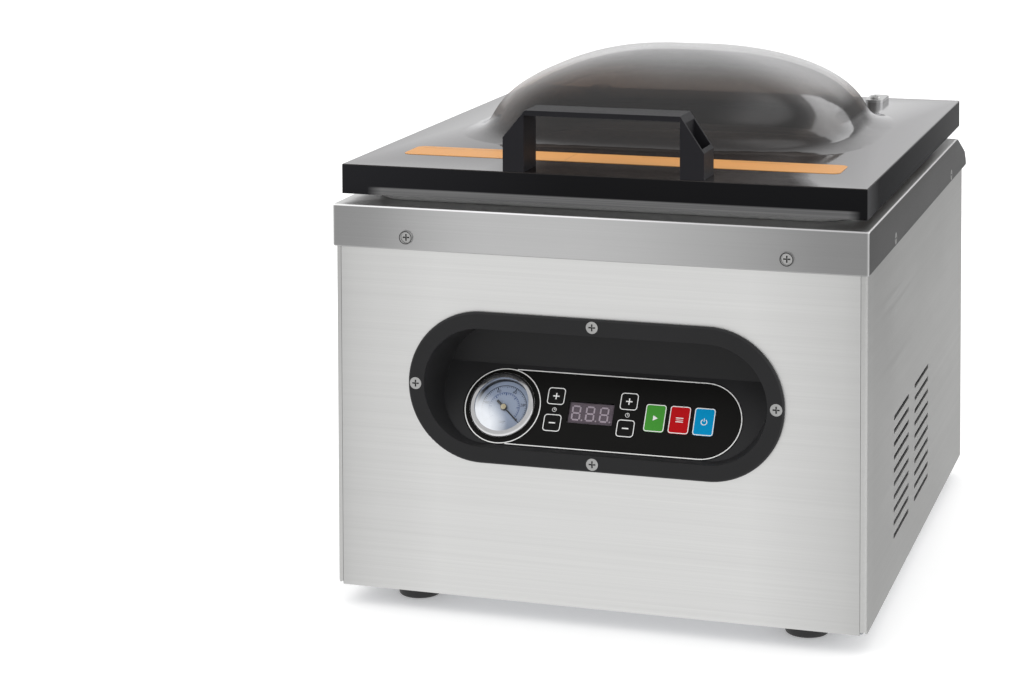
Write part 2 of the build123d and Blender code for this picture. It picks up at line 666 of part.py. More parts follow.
def control_overlay():
    sheet = Pos(0, 0.1, 0) * extrude(SlotCenterToCenter(2 * 69.0, 2 * 26.35), 0.8)
    sheet -= Pos(GAUGE_X, 0, 0) * Cylinder(GAUGE_HOLE_R, 4)
    window = extrude(RectangleRounded(31.2, 15.2, 0.8), 3, both=True)
    sheet -= Pos(DISPLAY_X, DISPLAY_Y, 0) * window
    for x, y, width, height in KEYS.values():
        sheet -= Pos(x, y, 0) * extrude(RectangleRounded(width, height, 2.0), 3, both=True)
    return on_face(Pos(0, 0, 0.02) * sheet)


def key_cap(x, y, width, height):
    cap = extrude(RectangleRounded(width - 0.1, height - 0.1, 1.95), 1.15)
    cap = fillet(cap.edges().group_by(Axis.Z)[-1], 0.3)
    return on_face(Pos(x, y, 0.1) * cap + Pos(x, y, -3.4) * Box(5, 5, 7.0))


def display_segments():
    parts = []
    for i in range(3):
        digit_x = DISPLAY_X + (i - 1) * 9.6 - 0.6
        for dx, dy, width, height in SEGMENTS:
            place = Pos(digit_x + dx, DISPLAY_Y + dy, -0.45)
            parts.append(on_face(place * Box(width, height, 0.3)))
    return parts


def control_board():
    parts = [
        box(-42, 86, -15, 20, -11.2, -9.6),  # board
        box(DISPLAY_X - 15, DISPLAY_X + 15, -7.6, 6.4, -8.0, -0.6),  # display module
        box(20, 34, -12, -4, -14, -11.2),
        box(-30, -18, 8, 18, -14, -11.2),
        box(50, 80, 12, 18, -16, -11.2),
    ]
    for x, y, _, _ in KEYS.values():
        parts.append(box(x - 3, x + 3, y - 3, y + 3, -9.6, -7.5))
    return [on_face(part) for part in parts]


save("control_bezel", control_bezel())
save("bezel_screws", *[flat_screw(x, Y_BEZEL, z, FRONT, length=11) for x, z in BEZEL_SCREWS])
save("control_overlay", control_overlay())
window = extrude(RectangleRounded(31.1, 15.1, 0.75), 0.8)
save("display_window", on_face(Pos(DISPLAY_X, DISPLAY_Y, 0.0) * window))
for name, key in KEYS.items():
    save(name, key_cap(*key))
save("display_segments", *display_segments())
save("control_board", *control_board())


# ---------------------------------------------------------------- vacuum gauge
def gauge_disc(r, height, z):
    return Pos(GAUGE_X, 0, z) * Cylinder(r, height)


def gauge_case():
    case = gauge_disc(20.0, 24.8, -11.6) - gauge_disc(18.6, 26.0, -9.0)
    case += gauge_disc(20.0, 2.0, -23.0)
    hexagon = Pos(GAUGE_X, 0, -29.0) * extrude(RegularPolygon(7.5, 6), 3.0)
    case += gauge_disc(5.0, 8.0, -27.5) + hexagon
    return case - gauge_disc(2.0, 6.0, -30)


def gauge_bezel():
    ring = gauge_disc(22.7, 3.3, 2.5) - gauge_disc(18.7, 6, 2.5)
    return fillet(ring.edges().group_by(Axis.Z)[-1].sort_by(SortBy.LENGTH)[-1], 2.0)


def gauge_needle():
    needle = gauge_disc(2.3, 1.4, -1.9) + gauge_disc(0.8, 7.0, -5.0)
    pointer = Pos(6.6, 0, 0) * Box(13.2, 0.9, 0.5) + Pos(-3.4, 0, 0) * Box(6.8, 1.7, 0.5)
    return needle + Pos(GAUGE_X, 0, -1.9) * Rot(0, 0, -40.0) * pointer


save("gauge_bezel", on_face(gauge_bezel()))
save("gauge_dial", on_face(gauge_disc(18.5, 0.8, -3.4) - gauge_disc(0.9, 4, -3.4)))
movement = Pos(GAUGE_X, 0, -12.5) * Box(16, 20, 8) - gauge_disc(0.9, 6, -9.5)
save("gauge_case", on_face(gauge_case()), on_face(movement))
save("gauge_needle", on_face(gauge_needle()))
save("gauge_glass", on_face(gauge_disc(18.6, 1.6, 2.0)))

# ---------------------------------------------------------------- motor and pump
MOTOR_Y, MOTOR_Z = 60.0, 78.0
PUMP_Y = (MOTOR_Y - 38, MOTOR_Y + 38)


def on_shaft(r, x0, x1):
    """Cylinder on the motor axis."""
    return cyl_x(r, MOTOR_Y, MOTOR_Z, x0, x1)


def about_shaft(x, angle, radius):
    """Place at a radius from the motor axis."""
    return Pos(x, MOTOR_Y, MOTOR_Z) * Rot(angle, 0, 0) * Pos(0, 0, radius)


def pump_motor():
    stator = on_shaft(44, -70, 30) - on_shaft(24.0, -66, 26) - on_shaft(5.55, -80, 40)
    for side in SIDES:
        y0, y1 = MOTOR_Y + side * 22, MOTOR_Y + side * 40
        stator += box(-60, 20, y0, y1, Z_FLOOR, Z_BASE + 26)
    stator -= on_shaft(24.0, -66, 26)
    for i in range(7):
        # cooling grooves
        stator -= on_shaft(46, -52 + i * 9, -49 + i * 9) - on_shaft(41.5, -53, 20)
    return stator


def motor_rotor():
    rotor = on_shaft(5.5, -92, 96) + on_shaft(23.2, -58, 18)
    fan = on_shaft(12, -90, -78)
    for i in range(7):
        fan += about_shaft(-84, i * 360 / 7, 21) * Rot(0, 0, 28) * Box(1.6, 15, 22)
    rotor += fan
    rotor += on_shaft(21.0, 44, 88)
    for i in range(3):
        rotor -= about_shaft(66, i * 120, 16) * Box(50, 3.0, 12)
    return rotor


def fan_cowl():
    cowl = on_shaft(44, -98, -70) - on_shaft(38, -96, -60)
    for i in range(12):
        cowl -= about_shaft(-97, i * 30, 25) * Box(6, 6, 18)
    return cowl


def pump_body():
    body = box(34, 92, *PUMP_Y, Z_FLOOR, 128) - on_shaft(25, 40, 91.9) - on_shaft(5.6, 30, 100)
    for i in range(6):
        body -= box(38 + i * 9, 42 + i * 9, MOTOR_Y - 40, MOTOR_Y + 40, 112, 132)
    return body


def pump_cover():
    cover = box(92, 104, *PUMP_Y, Z_FLOOR, 128) - on_shaft(5.6, 80, 97)
    return fillet(pick(cover, lambda c: near(c.X, 104)), 3)


pump_filter = cyl_z(17, 60, MOTOR_Y, 128, 168) - cyl_z(14, 60, MOTOR_Y, 131, 165)
save("pump_motor", pump_motor())
save("motor_rotor", motor_rotor())
save("fan_cowl", fan_cowl())
save("vacuum_pump", pump_body(), pump_cover(), pump_filter)

# ---------------------------------------------------------------- electrics
BOARD_Z0, BOARD_Z1 = 26, 27.6
# on the power board: x, y, radius, height
BOARD_CANS = [(-150, -100, 6, 18), (-134, -100, 6, 18), (-150, -40, 9, 26)]
# on the power board: x0, x1, y0, y1, height
BOARD_BLOCKS = [
    (-120, -102, -112, -92, 15), (-96, -78, -112, -92, 15), (-120, -80, -70, -64, 24),
    (-110, -90, -40, -20, 14), (-160, -130, -12, 0, 10),
]


def transformer():
    core = box(-160, -104, 80, 140, Z_FLOOR, 66)
    for x0, x1 in ((-150, -136), (-128, -114)):
        core -= box(x0, x1, 78, 142, 24, 58)
    coils = box(-149.8, -114.2, 72, 148, 24.2, 57.8) - box(-136.05, -127.95, 60, 160, 0, 99)
    return core, coils


def power_board():
    parts = [box(-165, -60, -120, 10, BOARD_Z0, BOARD_Z1)]
    for y in (-115, 5):
        for x in (-160, -65):
            parts.append(cyl_z(3, x, y, Z_FLOOR, BOARD_Z0))
    for x, y, r, height in BOARD_CANS:
        parts.append(cyl_z(r, x, y, BOARD_Z1, BOARD_Z1 + height))
    for x0, x1, y0, y1, height in BOARD_BLOCKS:
        parts.append(box(x0, x1, y0, y1, BOARD_Z1, BOARD_Z1 + height))
    return parts


save("transformer", *transformer())
save("power_board", *power_board())

# ---------------------------------------------------------------- valves and hoses
VALVE_X = (60.0, 96.0, 132.0)
VALVE_Y, VALVE_Z = -72, 88    # top nozzle


def valve(x):
    body = box(x - 12, x + 12, -92, -60, Z_FLOOR, 40) + box(x - 10, x + 10, -90, -66, 39.9, 76)
    return body + (cyl_z(4, x, VALVE_Y, 75.9, VALVE_Z) + cyl_y(4, x, 28, -108, -91.9))


def chamber_port(x, y, r, bore_r, flange_r, z0):
    bore = cyl_z(bore_r, x, y, 170, 210)
    return cyl_z(r, x, y, z0, CH_Z) - bore + (cyl_z(flange_r, x, y, CH_Z - 3.5, Z_TUB) - bore)


def hose(points, outer_r, inner_r, bend):
    path = FilletPolyline(*points, radius=bend)
    plane = Plane(origin=path @ 0, z_dir=path % 0)
    return sweep(plane * Circle(outer_r) - plane * Circle(inner_r), path=path)


def on_valve(i, z):
    return (VALVE_X[i], VALVE_Y, z)


save("solenoid_valves", *[valve(x) for x in VALVE_X])
save(
    "chamber_ports",
    chamber_port(*SUCTION_PORT, r=6.0, bore_r=3.5, flange_r=9, z0=178),
    chamber_port(*AIR_PORT, r=4.0, bore_r=2.2, flange_r=7, z0=182),
)
HOSE_Z = VALVE_Z + 0.1
suction_path = [(*SUCTION_PORT, 177.9), (*SUCTION_PORT, 140), on_valve(1, 118), on_valve(1, HOSE_Z)]
air_path = [(*AIR_PORT, 181.9), (*AIR_PORT, 150), on_valve(0, 130), on_valve(0, HOSE_Z)]
pump_path = [
    on_valve(2, HOSE_Z), on_valve(2, 150), (84, MOTOR_Y + 8, 165), (84, MOTOR_Y + 8, 128.1)
]
save(
    "vacuum_hoses",
    hose(suction_path, outer_r=6.0, inner_r=4.1, bend=12.0),
    hose(air_path, outer_r=4.6, inner_r=2.6, bend=12.0),
    hose(pump_path, outer_r=6.0, inner_r=4.0, bend=14.0),
)


# ---------------------------------------------------------------- power inlet, rear screws
def power_inlet():
    inlet = Pos(INLET_X, Y_REAR + 1.2, INLET_Z) * Box(49, 2.4, 28)
    inlet = fillet(inlet.edges().filter_by(Axis.Y), 3)
    inlet += Pos(INLET_X, Y_REAR - 11, INLET_Z) * Box(28, 22.1, 24)
    inlet -= Pos(INLET_X, Y_REAR - 6.5, INLET_Z) * Box(24.4, 18, 16.6)
    for x in INLET_SCREW_X:
        inlet -= cyl_y(1.8, x, INLET_Z, Y_REAR - 2, Y_REAR + 5)
    pins = []
    for dx, dz in ((-7, -2.2), (0, 2.2), (7, -2.2)):
        x, z = INLET_X + dx, INLET_Z + dz
        pins.append(box(x - 1, x + 1, Y_REAR - 20, Y_REAR - 2, z - 2, z + 2))
    for pin in pins:
        inlet -= pin
    return inlet, *pins


def rear_screws():
    panel = dict(head_r=3.4, head_h=2.0, length=1.15, shank_r=1.6)
    socket = dict(head_r=3.0, head_h=1.8, length=6, shank_r=1.7)
    screws = [pan_screw(x, Y_REAR, z, BACK, **panel) for x, z in BACK_SCREWS]
    for x in INLET_SCREW_X:
        screws.append(pan_screw(x, Y_REAR + 2.4, INLET_Z, BACK, **socket))
    return screws


save("power_inlet", *power_inlet())
save("rear_screws", *rear_screws())
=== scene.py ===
import bpy
import bmesh
import math
from mathutils import Matrix, Vector


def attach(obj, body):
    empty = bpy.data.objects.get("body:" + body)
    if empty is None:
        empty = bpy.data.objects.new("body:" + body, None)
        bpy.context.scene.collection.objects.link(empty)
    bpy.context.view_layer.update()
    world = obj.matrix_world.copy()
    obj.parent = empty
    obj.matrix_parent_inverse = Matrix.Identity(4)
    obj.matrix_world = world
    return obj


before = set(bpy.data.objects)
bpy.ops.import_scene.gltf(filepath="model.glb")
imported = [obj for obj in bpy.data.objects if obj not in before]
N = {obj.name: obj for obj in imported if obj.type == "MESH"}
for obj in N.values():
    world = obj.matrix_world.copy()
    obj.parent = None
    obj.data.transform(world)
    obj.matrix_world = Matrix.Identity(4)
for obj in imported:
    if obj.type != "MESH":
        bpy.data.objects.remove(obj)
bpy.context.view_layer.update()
MM = 0.001
scene = bpy.context.scene

# ------------------------------------------------------------------ shading helpers


class Mat:
    """A node material built step by step."""

    def __init__(self, name):
        self.m = bpy.data.materials.new(name)
        self.m.use_nodes = True
        self.t = self.m.node_tree
        self.t.nodes.clear()
        self.out = self.t.nodes.new("ShaderNodeOutputMaterial")
        self.tc = self.t.nodes.new("ShaderNodeTexCoord")

    def n(self, kind, **props):
        node = self.t.nodes.new(kind)
        for k, v in props.items():
            setattr(node, k, v)
        return node

    def link(self, a, b):
        self.t.links.new(a, b)

    def val(self, sock, v):
        if hasattr(v, "links"):
            self.link(v, sock)
        elif isinstance(v, bpy.types.NodeSocket):
            self.link(v, sock)
        else:
            sock.default_value = v

    def noise(self, scale, stretch=(1, 1, 1), detail=4.0, rough=0.55, seed=0.0):
        mp = self.n("ShaderNodeMapping")
        mp.inputs["Scale"].default_value = stretch
        mp.inputs["Location"].default_value = (seed, seed * 0.7, seed * 1.3)
        self.link(self.tc.outputs["Object"], mp.inputs["Vector"])
        nz = self.n("ShaderNodeTexNoise")
        nz.inputs["Scale"].default_value = scale
        nz.inputs["Detail"].default_value = detail
        nz.inputs["Roughness"].default_value = rough
        self.link(mp.outputs["Vector"], nz.inputs["Vector"])
        return nz.outputs["Fac"]

    def remap(self, fac, a0, a1, b0, b1, clamp=True):
        r = self.n("ShaderNodeMapRange")
        r.clamp = clamp
        for i, v in zip(("From Min", "From Max", "To Min", "To Max"), (a0, a1, b0, b1)):
            self.val(r.inputs[i], v)
        self.link(fac, r.inputs["Value"])
        return r.outputs["Result"]

    def math(self, op, a, b=0.0, c=None):
        m = self.n("ShaderNodeMath", operation=op)
        self.val(m.inputs[0], a)
        self.val(m.inputs[1], b)
        if c is not None:
            self.val(m.inputs[2], c)
        return m.outputs[0]

    def mixc(self, fac, a, b):
        m = self.n("ShaderNodeMix", data_type="RGBA")
        self.val(m.inputs["Factor"], fac)
        for sock, v in ((m.inputs[6], a), (m.inputs[7], b)):
            if isinstance(v, (tuple, list)):
                sock.default_value = (*v[:3], 1.0)
            else:
                self.link(v, sock)
        return m.outputs[2]

    def xyz(self, socket):
        s = self.n("ShaderNodeSeparateXYZ")
        self.link(socket, s.inputs[0])
        return s.outputs

    def bump(self, height, strength, dist, normal=None):
        b = self.n("ShaderNodeBump")
        b.inputs["Strength"].default_value = strength
        b.inputs["Distance"].default_value = dist
        self.link(height, b.inputs["Height"])
        if normal is not None:
            self.link(normal, b.inputs["Normal"])
        return b.outputs["Normal"]

    def edge(self, radius, lo=0.0, hi=0.12):
        """1 on worn edges, 0 on flats."""
        bv = self.n("ShaderNodeBevel")
        bv.samples = 3
        bv.inputs["Radius"].default_value = radius
        g = self.n("ShaderNodeNewGeometry")
        d = self.n("ShaderNodeVectorMath", operation="DOT_PRODUCT")
        self.link(bv.outputs["Normal"], d.inputs[0])
        self.link(g.outputs["Normal"], d.inputs[1])
        inv = self.math("SUBTRACT", 1.0, d.outputs["Value"])
        return self.remap(inv, lo, hi, 0.0, 1.0), bv.outputs["Normal"]

    def surface(self, color, rough, metallic=0.0, normal=None, aniso=0.0, tangent=None, spec=0.5, coat=0.0, coat_rough=0.05, emission=None, alpha=None, sheen=0.0):
        p = self.n("ShaderNodeBsdfPrincipled")
        if isinstance(color, (tuple, list)):
            p.inputs["Base Color"].default_value = (*color[:3], 1.0)
        else:
            self.link(color, p.inputs["Base Color"])
        self.val(p.inputs["Roughness"], rough)
        self.val(p.inputs["Metallic"], metallic)
        self.val(p.inputs["Specular IOR Level"], spec)
        p.inputs["Coat Weight"].default_value = coat
        p.inputs["Coat Roughness"].default_value = coat_rough
        if aniso:
            p.inputs["Anisotropic"].default_value = aniso
            if tangent is not None:
                self.link(tangent, p.inputs["Tangent"])
        if normal is not None:
            self.link(normal, p.inputs["Normal"])
        self.link(p.outputs[0], self.out.inputs["Surface"])
        self.p = p
        return p


def tone_along(M, coord, points):
    """Piecewise multiplier along one coordinate: points are (metres, linear value)."""
    lo, hi = points[0][0], points[-1][0]
    t = M.remap(coord, lo, hi, 0.0, 1.0)
    ramp = M.n("ShaderNodeValToRGB")
    ramp.color_ramp.interpolation = "B_SPLINE"
    el = ramp.color_ramp.elements
    while len(el) > 1:
        el.remove(el[-1])
    el[0].position = 0.0
    el[0].color = (points[0][1],) * 3 + (1.0,)
    for x, v in points[1:]:
        e = el.new((x - lo) / (hi - lo))
        e.color = (v,) * 3 + (1.0,)
    M.link(t, ramp.inputs[0])
    return ramp.outputs[0]


def multiply(M, a, b, fac=1.0):
    mul = M.n("ShaderNodeMix", data_type="RGBA", blend_type="MULTIPLY")
    M.val(mul.inputs["Factor"], fac)
    for sock, v in ((mul.inputs[6], a), (mul.inputs[7], b)):
        if isinstance(v, (tuple, list)):
            sock.default_value = (*v[:3], 1.0)
        else:
            M.link(v, sock)
    return mul.outputs[2]


def cavity(M, dist=0.0012, power=2.2):
    """Occlusion mask for painted shade: 0 in recesses such as screw slots, 1 on open faces."""
    ao = M.n("ShaderNodeAmbientOcclusion")
    ao.samples = 6
    ao.only_local = True
    ao.inputs["Distance"].default_value = dist
    return M.math("POWER", ao.outputs["AO"], power)


def assign(objs, mat):
    for o in objs:
        o.data.materials.clear()
        o.data.materials.append(mat.m if isinstance(mat, Mat) else mat)


def brushed(name, color, rough, direction, strength=0.10, var=0.06, scale=1.0, metallic=1.0, smudge=0.05, aniso=0.0):
    """Brushed sheet metal. direction is the axis the grain runs along."""
    M = Mat(name)
    long_, fine = 5.0 * scale, 1500.0 * scale
    st = {"X": (long_, fine, fine), "Y": (fine, long_, fine), "Z": (fine, fine, long_)}[direction]
    grain = M.noise(1.0, st, detail=3.0, rough=0.7)
    st2 = {"X": (1.6, 420.0, 420.0), "Y": (420.0, 1.6, 420.0), "Z": (420.0, 420.0, 1.6)}[direction]
    band = M.noise(1.0, st2, detail=2.0, seed=3.1)
    cloud = M.noise(5.0, (1, 1, 1), detail=3.0, seed=7.7)
    g = M.remap(grain, 0.3, 0.7, -var, var, clamp=False)
    b = M.remap(band, 0.3, 0.7, -var * 0.5, var * 0.5, clamp=False)
    tot = M.math("ADD", g, b)
    dark = tuple(c * 0.72 for c in color)
    lite = tuple(min(1.0, c * 1.28) for c in color)
    fac = M.math("ADD", 0.5, M.math("MULTIPLY", tot, 1.6))
    col = M.mixc(fac, dark, lite)
    r = M.math("ADD", M.remap(grain, 0.3, 0.7, rough - 0.05, rough + 0.06), M.remap(cloud, 0.35, 0.7, 0.0, smudge))
    nrm = M.bump(grain, strength, 0.00012)
    M.col, M.rough_out, M.nrm, M.grain = col, r, nrm, grain
    M.surface(col, r, metallic, nrm)
    if aniso:
        tg = M.n("ShaderNodeTangent", direction_type="RADIAL", axis=direction)
        M.p.inputs["Anisotropic"].default_value = aniso
        M.link(tg.outputs[0], M.p.inputs["Tangent"])
    return M


def plastic(name, color, rough, grain_scale=900.0, bump=0.15, dist=0.00006, var=0.12, spec=0.5, coat=0.0, wear=None, metallic=0.0, dust=0.0, edge_r=0.0004):
    M = Mat(name)
    fine = M.noise(grain_scale, detail=2.0)
    cloud = M.noise(14.0, detail=4.0, seed=2.2)
    dark = tuple(c * (1 - var) for c in color)
    lite = tuple(min(1.0, c * (1 + var)) for c in color)
    col = M.mixc(M.remap(cloud, 0.3, 0.7, 0.0, 1.0), dark, lite)
    r = M.math("ADD", M.remap(fine, 0.3, 0.7, rough - 0.04, rough + 0.04), M.remap(cloud, 0.3, 0.7, -0.03, 0.04))
    if wear is not None:
        e, bn = M.edge(edge_r, 0.01, 0.25)
        e = M.math("MULTIPLY", e, M.remap(M.noise(120.0, detail=3.0, seed=9.0), 0.35, 0.65, 0.35, 1.0))
        col = M.mixc(e, col, wear)
        nrm = M.bump(fine, bump, dist, bn)
    else:
        nrm = M.bump(fine, bump, dist)
    if dust:
        g = M.n("ShaderNodeNewGeometry")
        up = M.remap(M.xyz(g.outputs["Normal"])[2], 0.5, 1.0, 0.0, dust)
        col = M.mixc(M.math("MULTIPLY", up, M.remap(cloud, 0.4, 0.7, 0.2, 1.0)), col, (0.4, 0.4, 0.4))
    M.surface(col, r, metallic, nrm, spec=spec, coat=coat)
    return M


# ------------------------------------------------------------------ materials
def front_material():
    """Front sheet: fine level grain, with a painted highlight: the base colour is brighter down its middle for the
    studio's soft bright band.
    """
    M = brushed("front_steel", (0.68, 0.68, 0.672), 0.42, "X", strength=0.12, var=0.045)
    x, y, z = M.xyz(M.tc.outputs["Object"])[0:3]
    # painted highlight: base colour multiplied brighter in the middle and darker towards both ends
    tone = tone_along(M, x, ((-0.180, 0.72), (-0.168, 0.84), (-0.150, 0.90), (-0.120, 0.96), (-0.080, 1.08), (0.050, 1.10), (0.090, 1.04), (0.120, 0.96), (0.145, 0.89), (0.164, 0.83), (0.176, 0.76)))
    M.link(multiply(M, M.col, tone), M.p.inputs["Base Color"])
    return M


def side_material():
    """Side sheet with painted light: base colour brighter along its bent front edge, where it catches more light, and
    painted shade darkening it towards the top.
    """
    M = brushed("side_steel", (0.54, 0.54, 0.532), 0.40, "Y", strength=0.12, var=0.045)
    x, y, z = M.xyz(M.tc.outputs["Object"])[0:3]
    # painted highlight along the front bend, then painted shade growing towards the top
    tone = tone_along(M, y, ((-0.2270, 1.35), (-0.2235, 1.30), (-0.2195, 1.12), (-0.214, 1.0), (-0.19, 0.95), (0.10, 1.0), (0.214, 1.02)))
    painted_top_shade = tone_along(M, z, ((0.014, 1.00), (0.13, 0.975), (0.19, 0.90), (0.245, 0.79)))
    M.link(multiply(M, multiply(M, M.col, tone), painted_top_shade), M.p.inputs["Base Color"])
    return M


front_steel = front_material()
side_steel = side_material()
chamber_steel = brushed("chamber_steel", (0.55, 0.55, 0.55), 0.30, "X", strength=0.08, var=0.05, scale=0.6)
zinc_steel = brushed("zinc_steel", (0.42, 0.43, 0.45), 0.45, "X", strength=0.1, var=0.12, scale=0.1)
hinge_steel = brushed("hinge_steel", (0.52, 0.52, 0.52), 0.33, "Y", strength=0.1, var=0.08)
bright_steel = brushed("bright_steel", (0.62, 0.62, 0.62), 0.25, "Z", strength=0.05, var=0.08, scale=0.3)


def screw_material():
    """Nickelled screw heads with painted shade: base colour darkened by an occlusion mask down in the cross and round
    the rim.
    """
    M = brushed("screw_steel", (0.40, 0.40, 0.395), 0.34, "Z", strength=0.06, var=0.12, scale=0.25)
    c = cavity(M, 0.0014, 4.5)
    # painted shade: near-black base colour and less metallic where the occlusion mask finds recesses
    M.link(M.mixc(c, (0.012, 0.012, 0.012), M.col), M.p.inputs["Base Color"])
    M.link(M.remap(c, 0.0, 0.8, 0.25, 1.0), M.p.inputs["Metallic"])
    return M


screw_steel = screw_material()
spring_steel = brushed("spring_steel", (0.34, 0.34, 0.36), 0.3, "X", strength=0.05, var=0.1)
alu = brushed("extruded_aluminium", (0.62, 0.63, 0.64), 0.36, "X", strength=0.1, var=0.06)


def deck_material():
    """Deck sheet: brushed round the skirt, with painted light: a painted highlight on the fold that also glows, a
    lighter painted top face, a painted gradient along the front face, and painted shade darkening its flanks.
    """
    M = brushed("deck_steel", (0.50, 0.50, 0.50), 0.34, "X", strength=0.06, var=0.018)
    g = M.n("ShaderNodeNewGeometry")
    nx, ny, nz = M.xyz(g.outputs["Normal"])[0:3]
    x, y, z = M.xyz(M.tc.outputs["Object"])[0:3]
    # mask of the side-facing flanks, which get painted shade below
    flank_shade = M.remap(M.math("ABSOLUTE", nx), 0.72, 0.97, 0.0, 1.0)
    frontf = M.remap(M.math("MULTIPLY", ny, -1.0), 0.8, 0.99, 0.0, 1.0)
    # painted light: the front face's colour runs lighter at the left and darker towards the right
    tone = tone_along(M, x, ((-0.182, 0.50), (-0.152, 0.57), (-0.125, 0.78), (-0.095, 0.96), (-0.060, 1.03), (-0.010, 1.00), (0.030, 0.93), (0.060, 0.84), (0.095, 0.73), (0.125, 0.60), (0.150, 0.49), (0.180, 0.45)))
    col = multiply(M, M.col, tone, M.math("MULTIPLY", frontf, 0.95))
    # painted highlight: a lighter colour on the fold between front and top
    fold = M.math("MULTIPLY", M.remap(nz, 0.12, 0.42, 0.0, 1.0), M.remap(nz, 0.90, 0.99, 1.0, 0.0))
    fold = M.math("MULTIPLY", fold, M.remap(ny, -0.25, -0.05, 1.0, 0.0))
    lit = tone_along(M, x, ((-0.182, 0.95), (0.0, 0.95), (0.06, 0.62), (0.18, 0.45)))
    col = M.mixc(M.math("MULTIPLY", fold, 0.9), col, lit)
    # painted highlight: upward faces mixed to a lighter grey
    top = M.remap(nz, 0.92, 0.99, 0.0, 1.0)
    col = M.mixc(M.math("MULTIPLY", top, 0.85), col, (0.62, 0.62, 0.615))
    # painted shade: side-facing flanks turned near-black, with less metallic and specular
    col = M.mixc(M.math("MULTIPLY", flank_shade, 0.97), col, (0.034, 0.034, 0.034))
    grain = M.remap(M.grain, 0.3, 0.7, 0.978, 1.022)
    comb = M.n("ShaderNodeCombineColor")
    for i in range(3):
        M.link(grain, comb.inputs[i])
    M.link(multiply(M, col, comb.outputs[0]), M.p.inputs["Base Color"])
    M.link(M.remap(flank_shade, 0.0, 1.0, 1.0, 0.15), M.p.inputs["Metallic"])
    M.link(M.remap(flank_shade, 0.0, 1.0, 0.5, 0.06), M.p.inputs["Specular IOR Level"])
    # the fold's painted highlight also glows through emission
    M.p.inputs["Emission Color"].default_value = (1, 1, 1, 1)
    M.link(M.math("MULTIPLY", M.math("MULTIPLY", fold, 0.42), lit), M.p.inputs["Emission Strength"])
    return M


deck_steel = deck_material()


